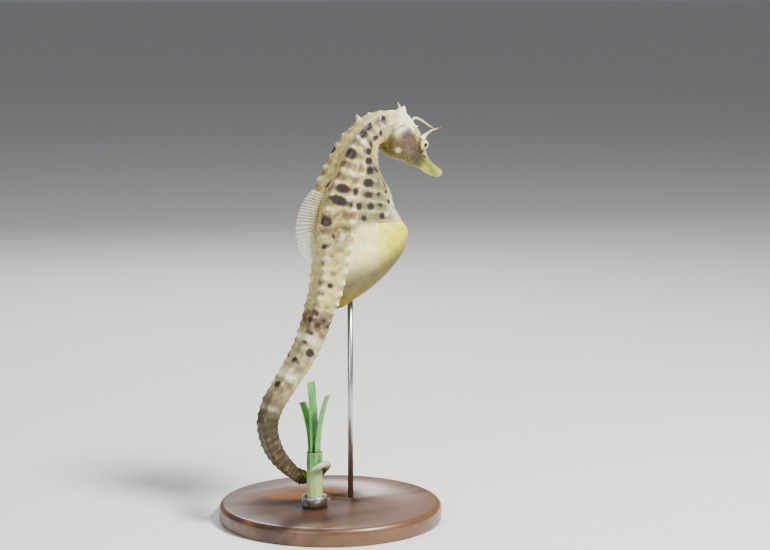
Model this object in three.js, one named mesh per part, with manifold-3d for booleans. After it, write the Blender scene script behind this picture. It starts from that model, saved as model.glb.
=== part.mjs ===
// Big-belly seahorse, adult male with a full brood pouch, life size, as a museum's still model.
// It holds a cut eelgrass shoot with its tail, and both stand on a turned base.
// Millimetres. +X is the way the animal faces, +Y its left side, +Z up.
// The origin is the middle of the base's underside.
import * as THREE from 'three';
import { mergeVertices } from 'three/addons/utils/BufferGeometryUtils.js';
import Module from 'manifold-3d';

const wasm = await Module();
wasm.setup();

// ---- driving dimensions ----
const GAP = 0.3;                       // left between pieces that meet

// Body rings 0 to 20: ring, back x, back z, belly x, belly z. The belly line of rings 12 to 20
// is the brood pouch's.
const BODY = [
  [0, 38.2, 204.0, 29.2, 188.3],
  [2, 25.6, 201.9, 25.6, 184.2],
  [4, 16.3, 196.0, 27.0, 179.1],
  [6, 8.6, 187.6, 29.3, 172.4],
  [8, 2.4, 176.5, 35.1, 164.0],
  [10, -4.3, 164.0, 38.2, 155.1],
  [12, -8.0, 150.2, 43.0, 148.0],
  [13, -7.7, 143.7, 45.6, 141.4],
  [14, -6.8, 138.0, 40.9, 131.3],
  [16, -7.0, 128.0, 25.9, 118.4],
  [18, -8.4, 118.0, 10.0, 110.4],
  [20, -11.5, 108.2, -1.0, 104.8],
];
// Half widths of the trunk at its paired ridges: ring, superior, lateral, inferior.
const RIDGES = [
  [0, 4.5, 7.4, 5.6],
  [4, 6.5, 9.2, 6.8],
  [8, 8.5, 11.5, 8.8],
  [12.5, 7.2, 10.8, 10.2],
];
// The tail's middle line where it hangs in the body's plane: ring, x, z, half side.
const TAIL = [
  [12, -0.1, 149.4, 7.8],
  [13, 0.2, 143.4, 7.6],
  [15, 0.3, 131.5, 6.8],
  [17.5, -2.2, 118.6, 6.2],
  [20, -6.0, 106.5, 5.6],
  [24.3, -13.5, 88.9, 5.05],
  [29.6, -26.6, 70.5, 4.4],
  [32.2, -32.9, 62.0, 4.2],
  [35.4, -36.1, 51.3, 3.9],
  [39.2, -32.3, 38.4, 3.6],
  [43.1, -23.8, 28.1, 3.15],
  [46, -18.6, 24.2, 2.8],
  [48, -13.5, 21.7, 2.5],
];
const COIL_START = 48;                 // the ring where the tail meets the shoot
const LAST_RING = 59;
const COIL_TURN = 240;                 // degrees that it winds round the shoot
// Height of the coil by degrees turned, and its half side there.
const COIL = [
  [0, 21.7, 2.5],
  [45, 23.8, 2.2],
  [90, 28.4, 1.95],
  [135, 31.3, 1.7],
  [180, 31.2, 1.4],
  [240, 28.2, 0.85],
];
const PERCH_X = -13.5;                 // the shoot that the tail holds
const PERCH_Y = -7.1;
const PERCH_RADIUS = 4.2;
// Half width of the brood pouch: ring, half width.
const POUCH = [
  [12, 10.2],
  [13.5, 12.4],
  [15, 12.8],
  [17, 11.0],
  [18.6, 8.0],
  [19.6, 5.4],
];
const PELVIS = 12.3;                   // the trunk ends and the tail and pouch begin
const POUCH_END = 19.5;

// The head: a frame at the middle of the line between the eyes, pitched down and a little
// turned and rolled to the animal's left.
const EYE_LINE = new THREE.Vector3(52.9, 0.8, 187.4);
const HEAD_PITCH = 44;
const HEAD_YAW = 8;
const HEAD_ROLL = 10.6;
// Sections from the nape to the mouth: number, top along, top up, bottom along, bottom up,
// half width, and how far the widest place sits below the middle (0 is the middle).
const HEAD = [
  [0, -22.3, 1.7, -17.5, -15.9, 6.9, 0.0],
  [1, -18.8, 4.6, -13.4, -17.4, 7.4, 0.05],
  [2, -14.2, 5.0, -8.8, -17.1, 7.9, 0.12],
  [3, -9.4, 4.5, -4.4, -15.1, 7.4, 0.16],
  [4, -5.0, 3.6, -0.9, -13.2, 6.2, 0.14],
  [5, -0.8, 2.5, 2.4, -11.9, 5.0, 0.1],
  [6, 3.6, 1.1, 5.6, -10.6, 4.1, 0.05],
  [7, 7.6, -0.2, 8.8, -9.0, 3.4, 0.0],
  [8, 11.6, -0.8, 12.2, -7.7, 2.9, 0.0],
  [9, 15.6, -0.7, 15.9, -6.8, 2.7, 0.0],
  [10, 19.2, 0.0, 19.4, -5.7, 2.7, 0.0],
  [11, 22.0, 0.4, 22.0, -4.1, 2.3, 0.0],
  [12, 23.2, -0.5, 23.2, -3.0, 1.3, 0.0],
];
const SNOUT_START = 6.6;               // the section where the tube of the snout begins
const SNOUT_END = 12;
const EYE_OUT = 4.5;                   // from the middle of the head to the eyeball's centre
const EYE_RADIUS = 2.7;
const ORBIT_RADIUS = 3.55;

const BASE_RADIUS = 56;
const BASE_HEIGHT = 9;
const ROD_RADIUS = 1.4;
const ROD_X = 12;                      // the rod under the pouch
const ROD_TOP = 119;
const ROD_FOOT = 4;
const SHEATH_TOP = 37;
const SOCKET_TOP = 15;

// ---- small tools ----
const radians = THREE.MathUtils.degToRad;
const vec = (x, y, z) => new THREE.Vector3(x, y, z);

// Values at a key, on a smooth cubic through the rows of a table [key, value, value, ...].
function along(table, key) {
  const last = table.length - 1;
  let i = 0;
  while (i < last - 1 && key > table[i + 1][0]) i += 1;
  const [a, b] = [table[i], table[i + 1]];
  const span = b[0] - a[0];
  const before = table[Math.max(i - 1, 0)];
  const after = table[Math.min(i + 2, last)];
  const t = (key - a[0]) / span;
  const curve = (t * t) * (3 - 2 * t);
  return a.slice(1).map((from, k) => {
    const to = b[k + 1];
    const slopeA = span * (to - before[k + 1]) / (b[0] - before[0]);
    const slopeB = span * (after[k + 1] - from) / (after[0] - a[0]);
    const bend = t * (1 - t) * (slopeA * (1 - t) - slopeB * t);
    return from + (to - from) * curve + bend;
  });
}

function ease(t) {
  const u = Math.min(Math.max(t, 0), 1);
  return u * u * (3 - 2 * u);
}

// A closed body over rows of points, each row a ring, with a flat fan at both ends.
function bodyOver(rows) {
  const around = rows[0].length;
  const points = rows.flat().flatMap((p) => [p.x, p.y, p.z]);
  const faces = [];
  for (let j = 0; j < rows.length - 1; j += 1) {
    for (let i = 0; i < around; i += 1) {
      const next = (i + 1) % around;
      const [a, b] = [j * around + i, j * around + next];
      const [c, d] = [a + around, b + around];
      faces.push(a, b, d, a, d, c);
    }
  }
  const end = rows.length - 1;
  for (const [j, flip] of [[0, false], [end, true]]) {
    const middle = points.length / 3;
    const centre = rows[j].reduce((sum, p) => sum.add(p), vec(0, 0, 0)).divideScalar(around);
    points.push(centre.x, centre.y, centre.z);
    for (let i = 0; i < around; i += 1) {
      const pair = [j * around + i, j * around + (i + 1) % around];
      faces.push(middle, ...(flip ? pair : pair.reverse()));
    }
  }
  const geometry = new THREE.BufferGeometry();
  geometry.setAttribute('position', new THREE.Float32BufferAttribute(points, 3));
  geometry.setIndex(faces);
  return facingOut(geometry);
}

// Turns every face over if the signed volume is negative.
function facingOut(geometry) {
  const at = geometry.getAttribute('position');
  const index = geometry.getIndex().array;
  const [a, b, c] = [vec(0, 0, 0), vec(0, 0, 0), vec(0, 0, 0)];
  let volume = 0;
  for (let i = 0; i < index.length; i += 3) {
    a.fromBufferAttribute(at, index[i]);
    b.fromBufferAttribute(at, index[i + 1]);
    c.fromBufferAttribute(at, index[i + 2]);
    volume += a.dot(b.cross(c));
  }
  if (volume < 0) {
    for (let i = 0; i < index.length; i += 3) {
      [index[i], index[i + 1]] = [index[i + 1], index[i]];
    }
  }
  return geometry;
}

function toSolid(geometry) {
  const bare = geometry.clone();
  bare.deleteAttribute('normal');
  bare.deleteAttribute('uv');
  const merged = mergeVertices(bare, 1e-4);
  const vertProperties = new Float32Array(merged.getAttribute('position').array);
  const triVerts = new Uint32Array(merged.getIndex().array);
  return new wasm.Manifold(new wasm.Mesh({ numProp: 3, vertProperties, triVerts }));
}

function toGeometry(solid) {
  const mesh = mainBody(solid).getMesh();
  const geometry = new THREE.BufferGeometry();
  geometry.setAttribute('position', new THREE.Float32BufferAttribute(mesh.vertProperties, 3));
  geometry.setIndex(Array.from(mesh.triVerts));
  return geometry;
}

// The largest body of a solid, once a cut has trimmed slivers off it.
function mainBody(solid) {
  const bodies = solid.decompose();
  return bodies.reduce((best, body) => (body.volume() > best.volume() ? body : best));
}

const joined = (first, ...more) => more.reduce((sum, g) => sum.add(toSolid(g)), toSolid(first));
const cutBy = (solid, ...tools) => tools.reduce((sum, g) => sum.subtract(toSolid(g)), solid);

// ---- the frame of the head ----
const headTurn = new THREE.Matrix4()
  .makeRotationZ(radians(HEAD_YAW))
  .multiply(new THREE.Matrix4().makeRotationY(radians(HEAD_PITCH)))
  .multiply(new THREE.Matrix4().makeRotationX(radians(HEAD_ROLL)));
const headLeft = vec(0, 1, 0).applyMatrix4(headTurn);

// A place in the head: forward along the snout, to the left, and up.
const inHead = (forward, left, up) => vec(forward, left, up).applyMatrix4(headTurn).add(EYE_LINE);

// ---- the frames that the sections lie in ----
// Each has a start point at the back, a belly-ward and a sideways direction, and a depth.
function frameOf(back, belly, sideways) {
  const depth = back.distanceTo(belly);
  const down = belly.clone().sub(back).divideScalar(depth);
  const side = sideways.clone().addScaledVector(down, -sideways.dot(down)).normalize();
  return { back, down, side, depth, forward: side.clone().cross(down) };
}

function headFrame(station) {
  const [topX, topZ, lowX, lowZ] = along(HEAD, station);
  return frameOf(inHead(topX, 0, topZ), inHead(lowX, 0, lowZ), headLeft);
}

// Rings 0 to 5 take up the turn of the head; further down the body is in its own plane.
const nape = headFrame(0);
const napeBelly = nape.back.clone().addScaledVector(nape.down, nape.depth);
const NECK_TWIST_RINGS = 5;

function bodyFrame(ring) {
  const [backX, backZ, bellyX, bellyZ] = along(BODY, ring);
  const still = ease(ring / NECK_TWIST_RINGS);
  const back = vec(backX, nape.back.y * (1 - still), backZ);
  const belly = vec(bellyX, napeBelly.y * (1 - still), bellyZ);
  return frameOf(back, belly, headLeft.clone().lerp(vec(0, 1, 0), still));
}

function tailMiddle(ring) {
  if (ring <= COIL_START) {
    const [x, z, half] = along(TAIL, ring);
    return { at: vec(x, 0, z), half };
  }
  const turned = COIL_TURN * (ring - COIL_START) / (LAST_RING - COIL_START);
  const [z, half] = along(COIL, turned);
  const angle = radians(90 - turned);
  const reach = PERCH_RADIUS + GAP + half;
  const ease0 = 7.1 - (PERCH_RADIUS + GAP + 2.5);
  const radius = reach + ease0 * (1 - ease(turned / 60));
  return { at: vec(PERCH_X + radius * Math.cos(angle), PERCH_Y + radius * Math.sin(angle), z), half };
}

// The tail turns its belly side to the shoot between these rings.
const ROLL_FROM = 42.5;
const ROLL_TO = 50;

function tailFrame(ring) {
  const step = 0.05;
  const { at, half } = tailMiddle(ring);
  const run = tailMiddle(Math.min(ring + step, LAST_RING)).at.sub(tailMiddle(ring - step).at).normalize();
  const inPlane = run.clone().cross(vec(0, 1, 0)).normalize();
  const toPerch = vec(PERCH_X - at.x, PERCH_Y - at.y, 0).normalize();
  const down = inPlane.lerp(toPerch, ease((ring - ROLL_FROM) / (ROLL_TO - ROLL_FROM)));
  down.addScaledVector(run, -down.dot(run)).normalize();
  const side = down.clone().cross(run);
  return { back: at.clone().addScaledVector(down, -half), down, side, depth: 2 * half, half };
}

// Points of a section from its right half, [down, out] in mm, first and last on the midline.
function sectionPoints(frame, half, grow, shift) {
  const place = ([down, out]) => {
    const deep = down + grow * Math.sign(down - frame.depth / 2);
    const wide = out === 0 ? 0 : out + grow * Math.sign(out);
    return frame.back.clone()
      .addScaledVector(frame.down, deep)
      .addScaledVector(frame.side, wide)
      .addScaledVector(frame.side.clone().cross(frame.down), shift);
  };
  const left = half.slice(1, -1).reverse().map(([down, out]) => [down, -out]);
  return [...half, ...left].map(place);
}

// Each ring stands up in its middle and sinks at its joints.
const ringRise = (ring) => Math.sin(Math.PI * (ring - Math.floor(ring + 1e-6))) ** 0.8;

function trunkSection(ring, depth) {
  const [superior, lateral, inferior] = along(RIDGES, ring);
  const rise = 0.55 * ringRise(ring);
  return [
    [0.8, 0],
    [-rise, superior],
    [0.13 * depth, (superior + lateral) / 2 - 0.2],
    [0.28 * depth, lateral + rise],
    [0.5 * depth, (lateral + inferior) / 2 + 0.2],
    [0.7 * depth, inferior + rise],
    [0.89 * depth, 0.52 * inferior],
    [depth + 0.7 * rise, 0],
  ];
}

function tailSection(ring, half) {
  const rise = 0.1 * half * ringRise(ring);
  return [
    [0.12 * half, 0],
    [-rise, half + 0.8 * rise],
    [0.65 * half, 0.92 * half],
    [1.35 * half, 0.9 * half],
    [1.95 * half + rise, 0.92 * half + 0.8 * rise],
    [1.88 * half, 0],
  ];
}

// A rounded section: depth down, and half width swollen by a power of the sine.
function roundSection(depth, width, low, steps) {
  const points = [];
  for (let k = 0; k <= steps; k += 1) {
    const turn = Math.PI * k / steps;
    const out = width * Math.sin(turn) ** 0.8 * (1 - low * Math.cos(turn));
    points.push([depth * (1 - Math.cos(turn)) / 2, k === 0 || k === steps ? 0 : out]);
  }
  return points;
}

// Rows of a stretch from one station to another, with half a gap left at both ends. The
// spread is negative where the stations run towards the mouth.
function stretch(from, to, rowsPerStation, frameAt, sectionAt, grow = 0, spread = GAP / 2) {
  const count = Math.round((to - from) * rowsPerStation);
  const rows = [];
  for (let k = 0; k <= count; k += 1) {
    const station = from + (to - from) * k / count;
    const frame = frameAt(station);
    const inward = (k === 0 ? spread : 0) - (k === count ? spread : 0);
    rows.push(sectionPoints(frame, sectionAt(station, frame), grow, inward));
  }
  return rows;
}

const HEAD_STEPS = 10;
const SNOUT_STEPS = 7;
const ROWS_PER_RING = 2;
const ROWS_PER_HEAD_STATION = 2;
const POUCH_STEPS = 10;

const headRows = (from, to, steps, grow) => stretch(from, to, ROWS_PER_HEAD_STATION, headFrame, (s, frame) => {
  const [, , , , width, low] = along(HEAD, s);
  return roundSection(frame.depth, width, low, steps);
}, grow, -GAP / 2);
const trunkRows = (from, to, grow, spread) => stretch(from, to, ROWS_PER_RING, bodyFrame,
  (ring, frame) => trunkSection(ring, frame.depth), grow, spread);
const tailRows = (from, to, grow) => stretch(from, to, ROWS_PER_RING, tailFrame,
  (ring, frame) => tailSection(ring, frame.half), grow);

// ---- the object ----
const seahorse = new THREE.Group();

function addPiece(name, geometry, color, roughness, metalness = 0) {
  const mesh = new THREE.Mesh(geometry, new THREE.MeshStandardMaterial({ color, roughness, metalness }));
  mesh.name = name;
  seahorse.add(mesh);
}

const CREAM = 0xd9cfae;
const PALE = 0xeae4cf;
const TAN = 0xb5a27c;
const OLIVE = 0x9a8f55;

// Orbits: a swelling on each side of the head, open at the eyeball.
function ball(radius, forward, left, up, wide = 16, high = 10) {
  const shape = new THREE.SphereGeometry(radius, wide, high);
  shape.rotateX(left > 0 ? -Math.PI / 2 : Math.PI / 2);
  shape.applyMatrix4(headTurn);
  const at = inHead(forward, left, up);
  shape.translate(at.x, at.y, at.z);
  return shape;
}
const sides = { right: -1, left: 1 };
const orbits = Object.values(sides).map((s) => ball(ORBIT_RADIUS, -0.1, s * (EYE_OUT - 1.0), -0.1, 16, 10));
const headLoft = (grow) => bodyOver(headRows(0, SNOUT_START, HEAD_STEPS, grow));
const eyeRooms = Object.values(sides).map((s) => ball(EYE_RADIUS + GAP, 0, s * EYE_OUT, 0));
addPiece('head', toGeometry(cutBy(joined(headLoft(0), ...orbits), ...eyeRooms)), PALE, 0.5);
addPiece('snout', bodyOver(headRows(SNOUT_START, SNOUT_END, SNOUT_STEPS, 0)), OLIVE, 0.5);
for (const [word, s] of Object.entries(sides)) {
  addPiece(`eye_${word}`, ball(EYE_RADIUS, 0, s * EYE_OUT, 0), PALE, 0.15);
}

const grownHead = [
  headLoft(GAP),
  ...Object.values(sides).map((s) => ball(ORBIT_RADIUS + GAP, -0.1, s * (EYE_OUT - 1.0), -0.1, 16, 10)),
];

// A tapering strand through places in the head: [forward, left, up, radius].
function strand(places, stepsPerSpan, around) {
  const rows = [];
  const table = places.map((place, k) => [k, ...place]);
  const total = (places.length - 1) * stepsPerSpan;
  for (let k = 0; k <= total; k += 1) {
    const t = k / stepsPerSpan;
    const [forward, left, up, radius] = along(table, t);
    const ahead = along(table, Math.min(t + 0.05, places.length - 1));
    const behind = along(table, Math.max(t - 0.05, 0));
    const run = vec(ahead[0] - behind[0], ahead[1] - behind[1], ahead[2] - behind[2]).normalize();
    const across = vec(0, 1, 0).addScaledVector(run, -run.y).normalize();
    const over = run.clone().cross(across);
    const row = [];
    for (let i = 0; i < around; i += 1) {
      const turn = 2 * Math.PI * i / around;
      const at = vec(forward, left, up)
        .addScaledVector(across, radius * Math.cos(turn))
        .addScaledVector(over, radius * Math.sin(turn));
      row.push(inHead(at.x, at.y, at.z));
    }
    rows.push(row);
  }
  return bodyOver(rows);
}

// Long skin strands over the eyes, rooted on the orbits.
const CIRRUS_RIGHT = [
  [-2.2, -4.2, 1.6, 1.5],
  [-2.6, -5.2, 4.6, 0.8],
  [-2.6, -7.0, 8.0, 0.45],
  [-1.5, -10.0, 11.7, 0.28],
];
const CIRRUS_LEFT = [
  [-3.0, 4.2, 1.6, 1.5],
  [-6.6, 5.0, 4.8, 0.8],
  [-7.6, 5.4, 8.6, 0.6],
  [-3.0, 6.0, 11.1, 0.5],
  [3.9, 6.5, 12.9, 0.38],
  [7.7, 6.5, 14.2, 0.28],
];
addPiece('cirrus_right', toGeometry(cutBy(toSolid(strand(CIRRUS_RIGHT, 3, 7)), ...grownHead)), PALE, 0.5);
addPiece('cirrus_left', toGeometry(cutBy(toSolid(strand(CIRRUS_LEFT, 3, 7)), ...grownHead)), PALE, 0.5);

// The coronet: a low crown of five blunt points that leans back, with a strand behind.
const CROWN_POINTS = 5;
const CROWN = [
  [-18.6, 2.4, 3.4, 0.0],
  [-19.0, 4.6, 2.6, 0.15],
  [-19.6, 5.6, 1.4, 0.35],
  [-20.0, 6.5, 0.6, 0.3],
];
function crownBody() {
  const around = CROWN_POINTS * 4;
  const rows = CROWN.map(([forward, up, radius, star]) => {
    const row = [];
    for (let i = 0; i < around; i += 1) {
      const turn = 2 * Math.PI * i / around;
      const point = Math.cos(CROWN_POINTS * turn);
      const reach = radius * (1 + star * point);
      const lift = 0.9 * star * Math.max(point, 0);
      row.push(inHead(forward - reach * Math.cos(turn) * 1.1, 0.85 * reach * Math.sin(turn), up + 1.4 * lift));
    }
    return row;
  });
  return bodyOver(rows);
}
const CROWN_STRAND = [
  [-20.4, 0.4, 3.0, 0.8],
  [-22.0, 0.5, 4.6, 0.45],
  [-23.6, 0.6, 5.2, 0.28],
  [-24.4, 0.6, 5.6, 0.25],
];
addPiece('coronet', toGeometry(cutBy(joined(crownBody(), strand(CROWN_STRAND, 3, 6)), ...grownHead)), PALE, 0.5);

// Neck, trunk and tail, each a run of whole rings.
const trunkParts = { neck: [0, 5], trunk_upper: [5, 9], trunk_lower: [9, PELVIS] };
for (const [name, [from, to]] of Object.entries(trunkParts)) {
  addPiece(name, bodyOver(trunkRows(from, to, 0)), CREAM, 0.55);
}
const tailCuts = [PELVIS, 20, 27, 34, 41, 47, 53, LAST_RING];
const trunkRoom = bodyOver(trunkRows(8, PELVIS, GAP, -GAP / 2));
const tailRoot = toSolid(bodyOver(tailRows(PELVIS - 0.5, tailCuts[1], 0)));
addPiece('tail_1', toGeometry(cutBy(tailRoot, trunkRoom)), CREAM, 0.55);
for (let k = 1; k < tailCuts.length - 1; k += 1) {
  const rows = tailRows(tailCuts[k], tailCuts[k + 1], 0);
  addPiece(`tail_${k + 1}`, bodyOver(rows), k % 2 ? TAN : CREAM, 0.55);
}

// The brood pouch hangs under the first tail rings; its back is hollowed to fit the tail.
function pouchRows() {
  const rows = stretch(PELVIS, POUCH_END, 2, bodyFrame, (ring, frame) => {
    const [width] = along(POUCH, ring);
    const start = 5;
    const points = roundSection(frame.depth - start, width, 0.08, POUCH_STEPS);
    return points.map(([down, out]) => [down + start, out]);
  });
  return rows;
}
const rodRoom = new THREE.CylinderGeometry(ROD_RADIUS + GAP, ROD_RADIUS + GAP, ROD_TOP + GAP, 16);
rodRoom.rotateX(Math.PI / 2);
rodRoom.translate(ROD_X, 0, (ROD_TOP + GAP) / 2);
const pouch = cutBy(toSolid(bodyOver(pouchRows())), bodyOver(tailRows(PELVIS - 0.4, 20.4, GAP)), rodRoom);
addPiece('brood_pouch', toGeometry(pouch), PALE, 0.45);

// A fin: a thin fan of rays. Rim points in the fin's own plane, given thickness both ways.
function finPlate(outline, thickness, place) {
  const shape = new THREE.Shape(outline.map(([x, y]) => new THREE.Vector2(x, y)));
  const plate = new THREE.ExtrudeGeometry(shape, { depth: thickness, bevelEnabled: false });
  plate.translate(0, 0, -thickness / 2);
  return plate.applyMatrix4(place);
}

const FIN_THICKNESS = 0.6;
const DORSAL_FROM = 9.9;               // rings that the dorsal fin stands on
const DORSAL_TO = 14.9;
const DORSAL_HEIGHT = 11.6;
const DORSAL_SWEEP = 4.5;              // how far its rays lean towards the tail
const DORSAL_RAYS = 14;
function dorsalOutline() {
  const base = [];
  const rim = [];
  for (let k = 0; k <= DORSAL_RAYS; k += 1) {
    const t = k / DORSAL_RAYS;
    const frame = bodyFrame(DORSAL_FROM + (DORSAL_TO - DORSAL_FROM) * t);
    const height = DORSAL_HEIGHT * Math.sin(Math.PI * (0.1 + 0.84 * t)) ** 0.55;
    base.push([frame.back.x + 2 * frame.down.x, frame.back.z + 2 * frame.down.z]);
    rim.push([
      frame.back.x - height * frame.down.x,
      frame.back.z - height * frame.down.z - DORSAL_SWEEP * t * t,
    ]);
  }
  return [...base, ...rim.reverse()];
}
const upright = new THREE.Matrix4().makeRotationX(Math.PI / 2);
const dorsal = cutBy(
  toSolid(finPlate(dorsalOutline(), FIN_THICKNESS, upright)),
  bodyOver(trunkRows(8, PELVIS + 0.5, GAP)),
  bodyOver(tailRows(PELVIS - 0.5, 17, GAP)),
);
addPiece('dorsal_fin', toGeometry(dorsal), PALE, 0.4);

// Pectoral fins: a fan behind each gill cover, standing a little away from the neck.
const PECTORAL_LENGTH = 7.5;
const PECTORAL_SPREAD = 75;
const PECTORAL_OUT = 24;
const PECTORAL_RING = 0.1;
const PECTORAL_ROOT = 7.3;             // from the midline out to the fin's root
function fanOutline(length, spread, root, count) {
  const points = [[0, -root], [0, root]];
  for (let k = 0; k <= count; k += 1) {
    const t = k / count;
    const angle = radians(spread * (0.5 - t));
    const reach = length * (0.86 + 0.14 * Math.sin(Math.PI * t));
    points.push([reach * Math.cos(angle), root * (1 - 2 * t) + reach * Math.sin(angle) * 0.8]);
  }
  return points.reverse();
}
for (const [word, s] of Object.entries(sides)) {
  const { back, down, side, depth } = bodyFrame(PECTORAL_RING);
  const backwards = side.clone().cross(down);
  const root = back.clone().addScaledVector(down, 0.56 * depth).addScaledVector(side, s * PECTORAL_ROOT);
  const place = new THREE.Matrix4()
    .makeBasis(backwards, down.clone().negate(), side.clone())
    .setPosition(root)
    .multiply(new THREE.Matrix4().makeRotationY(radians(-s * PECTORAL_OUT)));
  const fan = finPlate(fanOutline(PECTORAL_LENGTH, PECTORAL_SPREAD, 1.6, 8), FIN_THICKNESS, place);
  const clear = cutBy(toSolid(fan), headLoft(GAP), bodyOver(trunkRows(0, 5, GAP)));
  addPiece(`pectoral_fin_${word}`, toGeometry(clear), PALE, 0.4);
}

// The anal fin: a tiny fan at the front of the pouch, lying back along it.
const ANAL_LENGTH = 3.2;
const analFrame = bodyFrame(11.7);
const analPlace = new THREE.Matrix4()
  .makeTranslation(analFrame.back.x + (analFrame.depth - 1.4) * analFrame.down.x, 0,
    analFrame.back.z + (analFrame.depth - 1.4) * analFrame.down.z)
  .multiply(new THREE.Matrix4().makeRotationY(radians(50)))
  .multiply(new THREE.Matrix4().makeRotationX(Math.PI / 2));
const anal = cutBy(
  toSolid(finPlate(fanOutline(ANAL_LENGTH, 60, 0.8, 5), FIN_THICKNESS, analPlace)),
  bodyOver(trunkRows(9, PELVIS, GAP)),
  bodyOver(pouchRows()),
);
addPiece('anal_fin', toGeometry(anal), PALE, 0.4);

// ---- the eelgrass shoot ----
function ovalRow(x, y, z, across, through, turn, around) {
  const row = [];
  for (let i = 0; i < around; i += 1) {
    const angle = 2 * Math.PI * i / around;
    const [u, v] = [across * Math.cos(angle), through * Math.sin(angle)];
    row.push(vec(x + u * Math.cos(turn) - v * Math.sin(turn), y + u * Math.sin(turn) + v * Math.cos(turn), z));
  }
  return row;
}
const GRASS = 0x4f8a35;
const sheathRows = [];
const SHEATH_ROWS = 8;
for (let k = 0; k <= SHEATH_ROWS; k += 1) {
  const z = BASE_HEIGHT + GAP + (SHEATH_TOP - BASE_HEIGHT - GAP) * k / SHEATH_ROWS;
  sheathRows.push(ovalRow(PERCH_X, PERCH_Y, z, PERCH_RADIUS, PERCH_RADIUS * 0.93, 0.5, 16));
}
addPiece('eelgrass_sheath', bodyOver(sheathRows), 0x8d9a5a, 0.5);

// Blades: turn in degrees, place across the sheath, lean at the top, cut height.
const BLADES = [
  [20, 0, 2.0, 72],
  [12, 1.9, 6.5, 61],
  [30, -1.9, -5.5, 66],
];
const BLADE_HALF_WIDTH = 3.3;
const BLADE_HALF_THICKNESS = 0.5;
const BLADE_ROWS = 7;
BLADES.forEach(([turned, out, lean, top], n) => {
  const turn = radians(turned);
  const [faceX, faceY] = [-Math.sin(turn), Math.cos(turn)];
  const rows = [];
  for (let k = 0; k <= BLADE_ROWS; k += 1) {
    const t = k / BLADE_ROWS;
    const away = out + lean * t * t;
    const z = SHEATH_TOP + GAP + (top - SHEATH_TOP - GAP) * t;
    const across = BLADE_HALF_WIDTH * (n === 0 ? 1 : 0.8) * (1 - 0.12 * t);
    rows.push(ovalRow(PERCH_X + faceX * away, PERCH_Y + faceY * away, z, across,
      BLADE_HALF_THICKNESS, turn, 10));
  }
  addPiece(`eelgrass_blade_${n + 1}`, bodyOver(rows), GRASS, 0.4);
});

// ---- the stand ----
function turned(profile, around) {
  const shape = new THREE.LatheGeometry(profile.map(([r, z]) => new THREE.Vector2(r, z)), around);
  return shape.rotateX(Math.PI / 2);
}
const FOOT_EASE = 1.0;
const TOP_EASE = 3.0;
const disc = turned([
  [0, 0],
  [BASE_RADIUS - FOOT_EASE, 0],
  [BASE_RADIUS, FOOT_EASE],
  [BASE_RADIUS, BASE_HEIGHT - TOP_EASE],
  [BASE_RADIUS - 0.3 * TOP_EASE, BASE_HEIGHT - 0.3 * TOP_EASE],
  [BASE_RADIUS - TOP_EASE, BASE_HEIGHT],
  [0, BASE_HEIGHT],
], 48);
const rodHole = new THREE.CylinderGeometry(ROD_RADIUS + GAP, ROD_RADIUS + GAP, 20, 16);
rodHole.rotateX(Math.PI / 2);
rodHole.translate(ROD_X, 0, ROD_FOOT - GAP + 10);
addPiece('stand_base', toGeometry(cutBy(toSolid(disc), rodHole)), 0x3a2416, 0.35);

const rod = new THREE.CylinderGeometry(ROD_RADIUS, ROD_RADIUS, ROD_TOP - ROD_FOOT, 16);
rod.rotateX(Math.PI / 2);
rod.translate(ROD_X, 0, (ROD_TOP + ROD_FOOT) / 2);
addPiece('stand_rod', rod, 0xb8b8b8, 0.3, 1);

const SOCKET_WALL = 1.8;
const socket = turned([
  [PERCH_RADIUS + GAP, BASE_HEIGHT + GAP],
  [PERCH_RADIUS + GAP + SOCKET_WALL + 0.6, BASE_HEIGHT + GAP],
  [PERCH_RADIUS + GAP + SOCKET_WALL, SOCKET_TOP - 0.6],
  [PERCH_RADIUS + GAP + SOCKET_WALL - 0.6, SOCKET_TOP],
  [PERCH_RADIUS + GAP, SOCKET_TOP],
  [PERCH_RADIUS + GAP, BASE_HEIGHT + GAP],
], 32);
socket.translate(PERCH_X, PERCH_Y, 0);
addPiece('stand_socket', socket, 0xb8b8b8, 0.3, 1);

export default seahorse;
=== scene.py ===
import math

import bpy
import numpy as np
from mathutils import Matrix, Vector


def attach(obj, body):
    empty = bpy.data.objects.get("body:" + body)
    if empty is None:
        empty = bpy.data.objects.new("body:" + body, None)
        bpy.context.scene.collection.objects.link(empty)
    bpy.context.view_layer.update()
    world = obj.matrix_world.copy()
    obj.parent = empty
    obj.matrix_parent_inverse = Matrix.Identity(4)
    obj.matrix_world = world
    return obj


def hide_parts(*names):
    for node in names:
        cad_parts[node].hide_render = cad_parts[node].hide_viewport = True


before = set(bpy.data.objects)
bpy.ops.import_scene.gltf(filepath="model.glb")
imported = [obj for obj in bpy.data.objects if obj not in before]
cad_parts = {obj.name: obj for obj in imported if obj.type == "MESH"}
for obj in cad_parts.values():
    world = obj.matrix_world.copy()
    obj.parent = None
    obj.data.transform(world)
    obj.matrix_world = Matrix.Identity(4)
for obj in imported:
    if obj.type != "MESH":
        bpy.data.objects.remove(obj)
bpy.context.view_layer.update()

MM = 0.001


# ---- The viewing place ----
# The animal is seen from its right side and a third of the way round to its back, from a
# little above, through a long lens a metre away.
VIEW_TURN = math.radians(33.0)
VIEW_RISE = math.radians(8.0)
VIEW_DISTANCE = 1000.0 * MM
FRAME_WIDTH = 385.0 * MM
SENSOR_WIDTH = 36.0
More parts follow.
